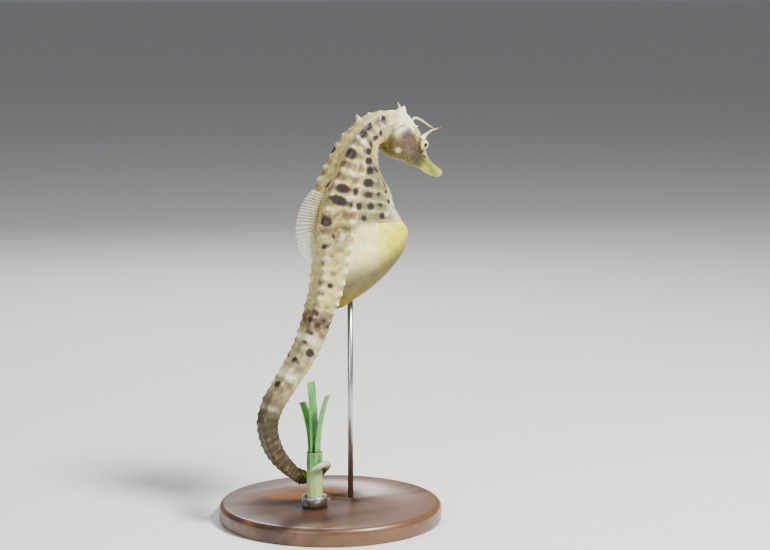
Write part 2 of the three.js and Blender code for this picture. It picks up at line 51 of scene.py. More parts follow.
# The point aimed at, in millimetres to the right, up and away as the camera sees them.
AIM = (27.5, 122.5, -10.0)
UP = np.array([0.0, 0.0, 1.0])
level_far = np.array([math.sin(VIEW_TURN), math.cos(VIEW_TURN), 0.0])
to_right = np.array([math.cos(VIEW_TURN), -math.sin(VIEW_TURN), 0.0])
to_top = level_far * math.sin(VIEW_RISE) + UP * math.cos(VIEW_RISE)
to_far = level_far * math.cos(VIEW_RISE) - UP * math.sin(VIEW_RISE)
aim = (AIM[0] * to_right + AIM[1] * to_top + AIM[2] * to_far) * MM
camera_data = bpy.data.cameras.new("museum_camera")
camera_data.sensor_width = SENSOR_WIDTH
camera_data.lens = SENSOR_WIDTH * VIEW_DISTANCE / FRAME_WIDTH


def put(name, data):
    """A new object of the scene with its data."""
    thing = bpy.data.objects.new(name, data)
    bpy.context.scene.collection.objects.link(thing)
    return thing


camera = put("museum_camera", camera_data)
camera.location = Vector(aim - VIEW_DISTANCE * to_far)
camera.rotation_euler = Vector(to_far).to_track_quat("-Z", "Y").to_euler()
bpy.context.scene.camera = camera


# ---- The body: one skin from the lips to the tail tip ----
# Cast resin painted by hand. The cast keeps the bony rings under the skin, with their
# ridges and knobs, the gill covers, the eye turrets and the smooth full brood pouch.

# Body rings: ring, back x, back z, belly x, belly z, in millimetres.
BODY = [
    (0, 38.2, 204.0, 29.2, 188.3),
    (2, 25.6, 201.9, 25.6, 184.2),
    (4, 16.3, 196.0, 27.0, 179.1),
    (6, 8.6, 187.6, 29.3, 172.4),
    (8, 2.4, 176.5, 35.1, 164.0),
    (10, -4.3, 164.0, 38.2, 155.1),
    (12, -8.0, 150.2, 43.0, 148.0),
    (13, -7.7, 143.7, 45.6, 141.4),
    (14, -6.8, 138.0, 40.9, 131.3),
    (16, -7.0, 128.0, 25.9, 118.4),
    (18, -8.4, 118.0, 10.0, 110.4),
    (20, -11.5, 108.2, -1.0, 104.8),
]
# Half widths at the trunk's ridges: ring, superior, lateral, inferior.
RIDGES = [
    (0, 4.5, 7.4, 5.6),
    (4, 6.5, 9.2, 6.8),
    (8, 8.5, 11.5, 8.8),
    (12.5, 7.2, 10.8, 10.2),
]
# The tail where it hangs in the body's plane: ring, x, z, half side.
TAIL = [
    (12, -0.1, 149.4, 7.8),
    (13, 0.2, 143.4, 7.6),
    (15, 0.3, 131.5, 6.8),
    (17.5, -2.2, 118.6, 6.2),
    (20, -6.0, 106.5, 5.6),
    (24.3, -13.5, 88.9, 5.05),
    (29.6, -26.6, 70.5, 4.4),
    (32.2, -32.9, 62.0, 4.2),
    (35.4, -36.1, 51.3, 3.9),
    (39.2, -32.3, 38.4, 3.6),
    (43.1, -23.8, 28.1, 3.15),
    (46, -18.6, 24.2, 2.8),
    (48, -13.5, 21.7, 2.5),
]
COIL_START = 48
LAST_RING = 59
COIL_TURN = 240.0
TIP_LENGTH = 0.9
# The coil round the shoot: degrees turned, height, half side.
COIL = [
    (0, 21.7, 2.5),
    (45, 23.8, 2.2),
    (90, 28.4, 1.95),
    (135, 31.3, 1.7),
    (180, 31.2, 1.4),
    (240, 28.2, 0.85),
]
# The middle of the shoot, its radius and the gap that the tail's grip leaves round it.
PERCH = np.array([-13.5, -7.1, 0.0])
PERCH_RADIUS = 4.2
GRIP_GAP = 0.3
# Half width of the pouch: ring, half width.
POUCH = [(12, 10.2), (13.5, 12.4), (15, 12.8), (17, 11.0), (18.6, 8.0), (19.6, 5.4), (20.4, 4.6)]
TRUNK_RINGS = 13
POUCH_RINGS = 20
# The head: station, top along, top up, bottom along, bottom up, half width, low widest place.
HEAD = [
    (0, -22.3, 1.7, -17.5, -15.9, 6.9, 0.0),
    (1, -18.8, 4.6, -13.4, -17.4, 7.4, 0.05),
    (2, -14.2, 5.0, -8.8, -17.1, 7.9, 0.12),
    (3, -9.4, 4.5, -4.4, -15.1, 7.4, 0.16),
    (4, -5.0, 3.6, -0.9, -13.2, 6.2, 0.14),
    (5, -0.8, 2.5, 2.4, -11.9, 5.0, 0.1),
    (6, 3.6, 1.1, 5.6, -10.6, 4.1, 0.05),
    (7, 7.6, -0.2, 8.8, -9.0, 3.4, 0.0),
    (8, 11.6, -0.8, 12.2, -7.7, 2.9, 0.0),
    (9, 15.6, -0.7, 15.9, -6.8, 2.7, 0.0),
    (10, 19.2, 0.0, 19.4, -5.7, 2.7, 0.0),
    (11, 22.0, 0.4, 22.0, -4.1, 2.3, 0.0),
    (12, 23.2, -0.5, 23.2, -3.0, 1.3, 0.0),
]
EYE_LINE = np.array([52.9, 0.8, 187.4])
HEAD_TURN = np.array(
    Matrix.Rotation(math.radians(8.0), 3, "Z")
    @ Matrix.Rotation(math.radians(44.0), 3, "Y")
    @ Matrix.Rotation(math.radians(10.6), 3, "X")
)
EYE_OUT = 4.5
EYE_RADIUS = 2.7
ORBIT_OUT = 3.5
ORBIT_RADIUS = 3.55

# Rows of the skin's grid, by stretch, and columns round each quarter of a section.
HEAD_ROWS = 124
TRUNK_ROWS_PER_RING = 14
POUCH_ROWS_PER_RING = 10
TAIL_ROWS_PER_RING = 6.2
UPPER_COLUMNS = 11
LOWER_COLUMNS = 8


def along(table, keys):
    """A cubic through a table's rows at the keys, its slopes taken from the rows each side."""
    rows = np.asarray(table, float)
    key, value = rows[:, 0], rows[:, 1:]
    i = np.clip(np.searchsorted(key, keys, side="right") - 1, 0, len(key) - 2)
    before, after = np.maximum(i - 1, 0), np.minimum(i + 2, len(key) - 1)
    span = (key[i + 1] - key[i])[:, None]
    t = ((keys - key[i]) / span[:, 0])[:, None]
    rise = value[i + 1] - value[i]
    slope_a = span * (value[i + 1] - value[before]) / (key[i + 1] - key[before])[:, None]
    slope_b = span * (value[after] - value[i]) / (key[after] - key[i])[:, None]
    return value[i] + rise * t * t * (3 - 2 * t) + t * (1 - t) * (slope_a * (1 - t) - slope_b * t)


def ease(t):
    """0 below 0 and 1 above 1, with the smooth cubic 3t² - 2t³ between."""
    u = np.clip(t, 0.0, 1.0)
    return u * u * (3 - 2 * u)


def bell(x, width):
    """A Gaussian bump: e to the minus of (x / width) squared."""
    return np.exp(-((x / width) ** 2))


def unit(v):
    """Each vector divided by its length."""
    return v / np.linalg.norm(v, axis=-1, keepdims=True)


def in_head(forward, left, up):
    """Places given forward, left and up from the middle of the eye line."""
    local = np.stack(np.broadcast_arrays(forward, left, up), -1).astype(float)
    return local @ HEAD_TURN.T + EYE_LINE


def tail_path(ring):
    """The tail's middle line: the table in the body's plane, then a coil round the shoot."""
    flat = along(TAIL, np.minimum(ring, COIL_START))
    hanging = np.stack([flat[:, 0], np.zeros_like(ring), flat[:, 1]], -1)
    turned = COIL_TURN * np.clip(ring - COIL_START, 0, None) / (LAST_RING - COIL_START)
    wound = along(COIL, turned)
    angle = np.radians(90.0 - turned)
    slack = -PERCH[1] - (PERCH_RADIUS + GRIP_GAP + COIL[0][2])
    radius = PERCH_RADIUS + GRIP_GAP + wound[:, 1] + slack * (1 - ease(turned / 60.0))
    coil = np.stack([radius * np.cos(angle), radius * np.sin(angle), wound[:, 0]], -1) + PERCH
    on_coil = (ring > COIL_START)[:, None]
    return np.where(on_coil, coil, hanging), np.where(on_coil[:, 0], wound[:, 1], flat[:, 2])


# The frames that the sections lie in, from the mouth to the tail tip.
LAST_STATION = HEAD[-1][0]
head_station = np.linspace(LAST_STATION, 0.0, HEAD_ROWS, endpoint=False)
head_values = along(HEAD, head_station)
trunk_rows = TRUNK_RINGS * TRUNK_ROWS_PER_RING
pouch_rows = (POUCH_RINGS - TRUNK_RINGS) * POUCH_ROWS_PER_RING
trunk_ring = np.linspace(0.0, TRUNK_RINGS, trunk_rows, endpoint=False)
pouch_ring = np.linspace(TRUNK_RINGS, POUCH_RINGS, pouch_rows, endpoint=False)
body_ring = np.concatenate([trunk_ring, pouch_ring])
body_values = along(BODY, body_ring)
tail_rows = int((LAST_RING - POUCH_RINGS) * TAIL_ROWS_PER_RING)
tail_ring = np.linspace(POUCH_RINGS, LAST_RING, tail_rows)
ring = np.concatenate([-head_station, body_ring, tail_ring])
rows = len(ring)
head_span = slice(0, HEAD_ROWS)
body_span = slice(HEAD_ROWS, HEAD_ROWS + len(body_ring))
tail_span = slice(HEAD_ROWS + len(body_ring), rows)

back = np.zeros((rows, 3))
belly = np.zeros((rows, 3))
sideways = np.tile([0.0, 1.0, 0.0], (rows, 1))
back[head_span] = in_head(head_values[:, 0], 0.0, head_values[:, 1])
belly[head_span] = in_head(head_values[:, 2], 0.0, head_values[:, 3])
sideways[head_span] = HEAD_TURN[:, 1]
# Over the first five rings the neck twists from the head's turn to the body's plane.
still = ease(body_ring / 5.0)[:, None]
nape_along, nape_up, throat_along, throat_up = HEAD[0][1:5]
for line, start, columns_of in (
    (back, in_head(nape_along, 0.0, nape_up), (0, 1)),
    (belly, in_head(throat_along, 0.0, throat_up), (2, 3)),
):
    x, z = body_values[:, columns_of].T
    line[body_span] = np.stack([x, start[1] * (1 - still[:, 0]), z], -1)
sideways[body_span] = HEAD_TURN[:, 1] * (1 - still) + sideways[body_span] * still
middle, half_side = tail_path(tail_ring)
ahead, _ = tail_path(np.minimum(tail_ring + 0.05, LAST_RING))
behind, _ = tail_path(tail_ring - 0.05)
run = unit(ahead - behind)
in_plane = unit(np.cross(run, [0.0, 1.0, 0.0]))
to_perch = unit((PERCH - middle) * [1.0, 1.0, 0.0])
turning = ease((tail_ring - 42.5) / 7.5)[:, None]
inward = in_plane * (1 - turning) + to_perch * turning
inward = unit(inward - run * np.sum(inward * run, -1, keepdims=True))
half_side = half_side * np.sqrt(np.clip((LAST_RING - tail_ring) / TIP_LENGTH, 0.01, 1.0))
back[tail_span] = middle - inward * half_side[:, None]
belly[tail_span] = middle + inward * half_side[:, None]
sideways[tail_span] = np.cross(inward, run)
depth = np.linalg.norm(belly - back, axis=-1)
down = (belly - back) / depth[:, None]
side = unit(sideways - down * np.sum(sideways * down, -1, keepdims=True))

# Each section is a smooth closed curve through nine places down one side and their mirror
# images: back middle, superior ridge, side, lateral ridge, side, inferior ridge, low side,
# low side, belly middle. On the tail the lateral ridge runs on as the tail's inferior one.
half = along(TAIL, np.clip(ring, 12, COIL_START))[:, 2]
half[tail_span] = half_side
superior, lateral, inferior = along(RIDGES, np.clip(ring, 0, 12.5)).T
pouch_width = along(POUCH, np.clip(ring, 12, 20.4))[:, 0]
head_width, head_low = along(HEAD, np.clip(-ring, 0, LAST_STATION))[:, 4:6].T


def recipe(*places):
    """Half sections from nine places, each its distance down and its distance out by row."""
    return np.stack([np.stack(place, -1) for place in places], 1)


turn = np.pi * np.arange(9) / 8
round_down = depth[:, None] * (1 - np.cos(turn)) / 2
rounded = np.abs(np.sin(turn)) ** 0.8
round_out = head_width[:, None] * rounded * (1 - head_low[:, None] * np.cos(turn))
head_recipe = np.stack([round_down, round_out], -1)
nothing = np.zeros(rows)
trunk_recipe = recipe(
    (nothing + 0.8, nothing),
    (nothing, superior),
    (0.13 * depth, (superior + lateral) / 2 - 0.3),
    (0.28 * depth, lateral),
    (0.49 * depth, (lateral + inferior) / 2 + 0.1),
    (0.7 * depth, inferior),
    (0.8 * depth, 0.82 * inferior),
    (0.91 * depth, 0.5 * inferior),
    (depth, nothing),
)
under = depth - 2 * half
fading = 1 - ease((ring - 12) / 2.5)
pouch_recipe = recipe(
    (0.01 * half, nothing),
    (0.04 * half, 0.97 * half),
    (0.95 * half, 0.94 * half + 0.3 * fading * (lateral - half)),
    (1.93 * half, half + fading * (lateral - half)),
    (2 * half + 0.09 * under, 0.93 * half + 0.7 * fading * (lateral - half)),
    (2 * half + 0.34 * under, 0.93 * pouch_width),
    (2 * half + 0.62 * under, pouch_width),
    (2 * half + 0.88 * under, 0.64 * pouch_width),
    (depth, nothing),
)
tail_downs = np.array([-0.02, 0.04, 0.98, 1.95, 1.93, 1.91, 1.9, 1.88, 1.88])
tail_outs = np.array([0.0, 0.96, 0.95, 0.93, 0.74, 0.55, 0.36, 0.18, 0.0])
tail_recipe = half[:, None, None] * np.stack([tail_downs, tail_outs], -1)[None]
end_recipe = half[:, None, None] * np.stack([1 - np.cos(turn), np.sin(turn)], -1)[None]
tail_recipe = tail_recipe + (end_recipe - tail_recipe) * ease((ring - 47) / 7)[:, None, None]


def between(recipe_a, recipe_b, share):
    """One recipe turning into another by a share from 0 to 1 in each row."""
    return recipe_a + (recipe_b - recipe_a) * share[:, None, None]


half_section = between(head_recipe, trunk_recipe, ease((ring + 1.5) / 3.5))
half_section = between(half_section, pouch_recipe, ease((ring - 11.2) / 1.6))
half_section = between(half_section, tail_recipe, ease((ring - 18.8) / 1.4))
mirror = half_section[:, 7:0:-1] * [1.0, -1.0]
section = np.concatenate([half_section, mirror], 1)

quarter = np.concatenate([
    np.linspace(0, 4, 4 * UPPER_COLUMNS, endpoint=False),
    np.linspace(4, 8, 4 * LOWER_COLUMNS, endpoint=False),
])
girth = np.concatenate([quarter, 16.0 - np.append(quarter[1:], 8.0)[::-1]])
columns = len(girth)


# The 16 places and a few of their own repeats at each end, as one table for all the rows.
closed = np.concatenate([section[:, -2:], section, section[:, :3]], 1).transpose(1, 0, 2)
places_by_girth = np.column_stack([np.arange(-2, 19), closed.reshape(21, -1)])
SMALL_STEP = 1e-4


def section_at(place):
    """Points of every row's section at girths, on the smooth curve through its places."""
    return along(places_by_girth, place).reshape(len(place), rows, 2).transpose(1, 0, 2)


flat_points = section_at(girth)
flat_slopes = section_at(girth + SMALL_STEP) - section_at(girth - SMALL_STEP)
outward = unit(np.stack([-flat_slopes[..., 1], flat_slopes[..., 0]], -1))

# The relief of the rings: a low hoop round the middle of each ring, ridges along the body
# where the plates meet, and a knob where a hoop crosses a ridge.
HOOP_LAG = 0.45
HOOP_SLANT = 0.05
TRUNK_END = 11.6
THORN_RING = 3.05
PEARLS_FROM = 12.6
PEARLS_TO = 19.6


def slant(ring_at, girth_at):
    """Ring places along the hoops, which come a little later at the back than the belly."""
    return ring_at - HOOP_LAG + HOOP_SLANT * (girth_at - 1)


def stretch(value, start, rise, stop, fall):
    """1 between two places along a value, eased in over a rise and out over a fall."""
    return ease((value - start) / rise) * (1 - ease((value - stop) / fall))


from_back = np.where(girth > 8, 16 - girth, girth)[None, :]
R = ring[:, None]
slanted = slant(R, from_back)
phase = slanted - np.floor(slanted)
hoop = bell(phase - 0.5, 0.1)
broad_hoop = bell(phase - 0.5, 0.19)
joint = bell(np.minimum(phase, 1 - phase), 0.12)
upper_ridge = bell(from_back - 1, 0.2)
side_ridge = bell(from_back - 3, 0.17)
low_ridge = bell(from_back - 5, 0.2)
keel = bell(from_back - 8, 0.5)
on_rings = ease(R / 0.8)
tail_part = ease((R - TRUNK_END) / 1.2)
trunk_part = on_rings * (1 - tail_part)
neck_part = on_rings * (1 - ease((R - 6.5) / 4))
plated = np.where(from_back < 3.4, 1.0, np.where(R < 12, 0.55, 0.0))
plated = plated * (1 - 0.7 * bell(from_back, 0.6)) * (1 - 0.4 * bell(from_back - 2, 0.6))
every_third = 1 + 0.5 * (np.mod(np.floor(slanted), 3) == 1)
knob = broad_hoop * (0.7 * every_third * upper_ridge + 1.05 * side_ridge)
throat_knob = broad_hoop * (0.5 * low_ridge + neck_part * (0.3 * low_ridge + 0.8 * keel))
cross_plate = 0.12 * bell(from_back - 2, 0.12) * (1 - hoop)
relief = trunk_part * (
    (0.34 - 0.2 * neck_part) * hoop * plated - (0.22 - 0.12 * neck_part) * joint * plated
    + 0.12 * upper_ridge + 0.2 * side_ridge + 0.12 * low_ridge + cross_plate
    + (1 - 0.45 * neck_part) * knob + throat_knob
)
on_plates = np.where(from_back < 3.4, 1.0, ease((R - 19) / 1.5) * 0.5)
tail_knob = every_third * broad_hoop * (0.09 * upper_ridge + 0.1 * side_ridge)
tail_hoop = (0.035 * hoop - 0.03 * joint) * on_plates
relief += tail_part * half[:, None] * (tail_hoop + tail_knob)
# One knob of the nape stands out as a thorn, and pearls run down the edge of the pouch.
thorn = 2.5 * bell(girth - 1, 0.17) + 0.4 * bell(girth - 15, 0.16)
relief += bell(R - THORN_RING, 0.2) * thorn[None, :]
pearls = bell(phase - 0.5, 0.26) * bell(from_back - 3, 0.22)
pearls = pearls * stretch(R, PEARLS_FROM, 0.6, PEARLS_TO, 0.8)
relief += 0.5 * pearls
# A fold where the top of the pouch meets the trunk.
relief -= 0.7 * bell(R - 11.9, 0.22) * ease((from_back - 3.6) / 0.8)



def nearest(values, wanted):
    """The index of the value nearest to a wanted one."""
    return int(np.argmin(np.abs(values - wanted)))


def in_space(flat):
    """Places or steps in the plane of each section, down and out, as ones in space."""
    return flat[..., :1] * down[:, None] + flat[..., 1:] * side[:, None]


plain_skin = back[:, None] + in_space(flat_points)
skin = plain_skin + in_space(outward * relief[..., None])

# The relief of the head, in the head's own directions: the gill cover and its rays, the
# brow, the cheek, the lines of the lips and jaw, the nostrils and a knob on the forehead.
GILL_RAYS = 30
local = (skin - EYE_LINE) @ HEAD_TURN
forward, left, up = local[..., 0], local[..., 1], local[..., 2]
in_head_part = 1 - ease((R + 0.6) / 1.2)
cover_x, cover_z = (forward + 7.5) / 10.8, (up + 7.5) / 8.8
cover = np.sqrt(cover_x ** 2 + cover_z ** 2)
spoke = np.arctan2(cover_z, cover_x + 0.5)
at_rear = ease((-forward - 5.0) / 6.0)
swelling = 0.7 * ease((1.0 - cover) / 0.1) + 0.55 * ease((1.0 - cover) / 0.75)
swelling = swelling * (0.35 + 0.65 * at_rear) - 0.55 * bell(cover - 1.06, 0.05) * at_rear
on_cover = ease((cover - 0.25) / 0.3)
rays = 0.13 * np.sin(GILL_RAYS * spoke) * ease((1.0 - cover) / 0.4) * on_cover
brow = 0.7 * bell(up - 3.2 - 0.03 * forward, 0.7) * stretch(forward, -18, 6.0, -3.5, 2.0)
cheek = 0.4 * bell(up + 5.0 - 0.1 * forward, 0.8) * stretch(forward, -4, 3.0, 6.0, 5.0)
lip_line = -0.3 * bell(up + 2.5 - 0.12 * (23 - forward), 0.3) * ease((forward - 19.8) / 1.0)
jaw_line = -0.12 * bell(up + 5.0 - 0.14 * (forward - 12), 0.45) * ease((forward - 6) / 3.0)
head_outward = unit(np.stack([np.zeros_like(left), left, 0.35 * (up + 5.0)], -1)) @ HEAD_TURN.T
head_relief = swelling + rays + brow + cheek + lip_line + jaw_line
for s in (-1.0, 1.0):
    nostril_gap = np.sqrt((forward - 4.6) ** 2 + (left - s * 1.9) ** 2 + (up - 0.2) ** 2)
    head_relief = head_relief - 0.4 * bell(nostril_gap, 0.5) + 0.2 * bell(nostril_gap - 1.0, 0.4)
skin = skin + head_outward * (in_head_part * head_relief)[..., None]
FOREHEAD_KNOB = 1.7
bump_at = in_head(-6.6, 0.0, 4.2)
bump_gap = np.linalg.norm(skin - bump_at, axis=-1)
skin = skin + HEAD_TURN[:, 2] * (in_head_part * FOREHEAD_KNOB * bell(bump_gap, 0.9))[..., None]

# The eye turrets: the skin is pushed out to a ball round each eye, and drawn in behind the
# eyeball inside the lid's edge.
LID_ANGLE = 43.0
EYE_FORWARD = math.radians(10.0)
TURRET_BLEND = 0.35
LID_DEPTH = 0.4
eye_centre, eye_axis = {}, {}
for word, s in (("right", -1.0), ("left", 1.0)):
    turret = in_head(-0.1, s * ORBIT_OUT, -0.1)
    push = in_head(-0.4, s * 1.2, -0.8)
    gap = skin - push
    reach = np.linalg.norm(gap, axis=-1)
    ray = gap / reach[..., None]
    offset = push - turret
    along_ray = ray @ offset
    far = -along_ray + np.sqrt(along_ray ** 2 - offset @ offset + ORBIT_RADIUS ** 2)
    near = 1 - ease((np.linalg.norm(skin - turret, axis=-1) - ORBIT_RADIUS - 0.8) / 1.2)
    near = near * in_head_part
    lifted = (reach + far + np.sqrt((reach - far) ** 2 + TURRET_BLEND ** 2)) / 2
    skin = skin + ray * ((lifted - reach) * near)[..., None]
    eye_centre[word] = in_head(0.0, s * EYE_OUT, 0.0)
    outlook = np.array([math.sin(EYE_FORWARD), s * math.cos(EYE_FORWARD), 0.06])
    eye_axis[word] = HEAD_TURN @ unit(outlook)
    spread = skin - eye_centre[word]
    size = np.linalg.norm(spread, axis=-1)
    angle = np.degrees(np.arccos(np.clip(spread @ eye_axis[word] / size, -1, 1)))
    level = unit(np.cross(HEAD_TURN[:, 2], eye_axis[word]))
    round_eye = np.arctan2(spread @ np.cross(eye_axis[word], level), spread @ level)
    rim = 0.22 * bell(angle - LID_ANGLE - 7, 6.0)
    rim = rim + 0.06 * np.cos(9 * round_eye) * bell(angle - 78, 16.0) - 0.12 * bell(angle - 68, 6.0)
    sunk = ease((LID_ANGLE - angle) / 5.0)
    close = size < 6.0
    wanted = (size + rim) * (1 - sunk) + (EYE_RADIUS - LID_DEPTH) * sunk
    skin = skin + np.where(close, wanted - size, 0.0)[..., None] * spread / size[..., None]

# The mouth: the lips round over and the skin turns in to a small opening, painted black
# inside as painted shade.
LIP_ROWS = [(0.93, 0.28), (0.8, 0.42), (0.62, 0.34), (0.46, 0.0), (0.36, -0.8), (0.3, -1.8)]
mouth_middle = skin[0].mean(0)
mouth_rows = [
    mouth_middle + (skin[0] - mouth_middle) * share + HEAD_TURN[:, 0] * (out - 0.42)
    for share, out in LIP_ROWS
]
skin = np.concatenate([np.stack(mouth_rows[::-1]), skin])
lips = len(LIP_ROWS)


def pad(values):
    """Values of the skin's first row repeated over the rows of the lips."""
    return np.concatenate([np.repeat(values[:1], lips, 0), values])


def linear(colour):
    """An sRGB hex colour as linear red, green and blue."""
    value = np.array([int(colour[k:k + 2], 16) for k in (1, 3, 5)]) / 255.0
    return np.where(value <= 0.04045, value / 12.92, ((value + 0.055) / 1.055) ** 2.4)


def grid_mesh(name, points, ends=(True, True), around=True, marks=None):
    """A mesh of quads over a grid of points in millimetres, joined round where it closes.

    A fan of triangles to the middle of the row shuts each end that is asked for. The faces
    of a closed shape are turned over if its signed volume is negative. Marks are point
    colours by name, each a grid of red, green and blue.
    """
    count, across = points.shape[:2]
    index = np.arange(count * across).reshape(count, across)
    after = np.roll(index, -1, 1) if around else index[:, 1:]
    here = index if around else index[:, :-1]
    quads = np.stack([here[:-1], after[:-1], after[1:], here[1:]], -1).reshape(-1, 4)
    vertices = points.reshape(-1, 3)
    triangles = np.zeros((0, 3), int)
    for row, shut in ((0, ends[0]), (count - 1, ends[1])):
        if shut:
            tip = np.full(across, len(vertices))
            vertices = np.concatenate([vertices, points[row].mean(0)[None]])
            pair = (here[row], after[row]) if row else (after[row], here[row])
            triangles = np.concatenate([triangles, np.stack([pair[0], pair[1], tip], -1)])
    sets = (quads[:, [0, 1, 2]], quads[:, [0, 2, 3]], triangles)
    corners = vertices[np.concatenate(sets)]
    volume = np.sum(corners[:, 0] * np.cross(corners[:, 1], corners[:, 2]))
    if around and volume < 0:
        quads, triangles = quads[:, ::-1], triangles[:, ::-1]
    mesh = bpy.data.meshes.new(name)
    mesh.from_pydata((vertices * MM).tolist(), [], quads.tolist() + triangles.tolist())
    mesh.polygons.foreach_set("use_smooth", np.ones(len(mesh.polygons), bool))
    for title, colour in (marks or {}).items():
        flat = colour.reshape(-1, 3)
        extra = [colour[row].mean(0) for row, shut in ((0, ends[0]), (-1, ends[1])) if shut]
        flat = np.concatenate([flat, *[e[None] for e in extra]])
        layer = mesh.attributes.new(title, "FLOAT_COLOR", "POINT")
        layer.data.foreach_set("color", np.concatenate([flat, np.ones((len(flat), 1))], 1).ravel())
    mesh.update()
    return put(name, mesh)


# Paint. Each place is named by its ring and by its girth, 0 on the back to 8 on the belly.
CREAM = linear("#d3c78e")
WHITE = linear("#f8f5e6")
TAN = linear("#877a54")
GREY_GREEN = linear("#848a68")
OLIVE = linear("#7f7618")
DARK_OLIVE = linear("#5f5a10")
SNOUT_GREEN = linear("#9aa552")
MAUVE = linear("#6b4c48")
GILL_BROWN = linear("#4a3436")
ORBIT_BROWN = linear("#4a4218")
LID_CREAM = linear("#efe3ac")
# Painted inside the mouth as its shade.
MOUTH_SHADE_BLACK = linear("#1c1712")
YOLK = linear("#e6de4e")
POUCH_WHITE = linear("#faf5c0")
# Painted shade for the pouch's underside, and painted golden bounce light for its bottom edge.
POUCH_PAINTED_SHADE = linear("#5c4f36")
POUCH_PAINTED_BOUNCE_LIGHT = linear("#8f8230")
TAUPE = linear("#564b39")
PALE_TAIL = linear("#b3ab88")
TAIL_TIP = linear("#d3cfc2")
BAND = linear("#665843")
BAND_RING = 21.3
# White saddles over the tail's back: ring, brightness.
SADDLES = [(23.4, 0.9), (28.4, 0.75), (32.8, 0.25)]
PAINT_DEPTH = 1.4


def tint(base, colour, share):
    """The base colour mixed with another by a share from 0 to 1 at each point."""
    share = np.broadcast_to(np.clip(share, 0, 1), base.shape[:2])
    return base + (colour - base) * share[..., None]


R = pad(ring)[:, None]
from_back = np.broadcast_to(from_back, (rows + lips, columns))
local = (skin - EYE_LINE) @ HEAD_TURN
forward, left, up = local[..., 0], local[..., 1], local[..., 2]
head_part, cover, spoke, at_rear, pearls = map(pad, (in_head_part, cover, spoke, at_rear, pearls))
slanted = slant(R, from_back)
phase = slanted - np.floor(slanted)
hoop = bell(phase - 0.5, 0.16)
valley = bell(np.minimum(phase, 1 - phase), 0.3)

on_trunk = stretch(R, 0.5, 1.5, 12.4, 1.0)
front = ease((from_back - 3.1) / 0.5)
high_side = stretch(from_back, 0.2, 0.6, 2.7, 0.4)
# The ridges, white where the hoops cross them: partly pale paint, partly painted highlight.
trunk_ridges_pale_and_highlight = 0.55 * bell(from_back - 1, 0.3) + 0.75 * bell(from_back - 3, 0.26)
on_pouch = stretch(R, TRUNK_END, 0.8, PEARLS_TO, 0.8) * ease((from_back - 3.1) / 0.8)
# How far below a slanting line a point lies, for the pouch's painted shade and bounce light.
below_pouch_line = 126 + 0.41 * skin[..., 0] - skin[..., 2]
on_tail = ease((R - 12.2) / 1.0) * (1 - on_pouch)
tail_ridges = 0.7 * bell(from_back - 1, 0.4) + 0.7 * bell(from_back - 3, 0.35)

# The back of the head, for its white: partly a pale patch, partly a painted highlight.
head_back_pale_and_highlight = ease((-forward - 8.5) / 4.5) * ease((up + 10) / 5)
cheek_gap = np.sqrt(((forward + 9.0) / 8.4) ** 2 + ((up + 5.6) / 5.4) ** 2)
# The groove along the gill cover's rear edge, where painted shade darkens it.
gill_groove_shade = bell(cover - 1.06, 0.07) * at_rear * (1 - ease((up + 3) / 3))
gill_rays = ease(np.sin(GILL_RAYS * spoke) / 0.8) * ease((1.0 - cover) / 0.3)
gill_rays = gill_rays * ease((cover - 0.25) / 0.3)
knob_gap = np.linalg.norm(skin - bump_at - 1.5 * HEAD_TURN[:, 2], axis=-1)
from_eyes = [skin - eye_centre[word] for word in ("right", "left")]
around_eye = np.minimum(*[np.linalg.norm(gap, axis=-1) for gap in from_eyes])
off_axis = np.minimum(*[
    np.degrees(np.arccos(np.clip(unit(gap) @ eye_axis[word], -1, 1)))
    for gap, word in zip(from_eyes, ("right", "left"))
])
on_lid = (1 - ease((around_eye - 3.2) / 0.8)) * (1 - ease((off_axis - 50) / 13))
on_orbit = bell(around_eye - 3.5, 1.0) * ease((off_axis - 52) / 16)
in_mouth = 1 - ease((np.arange(rows + lips)[:, None] - 0.5) / 1.5)

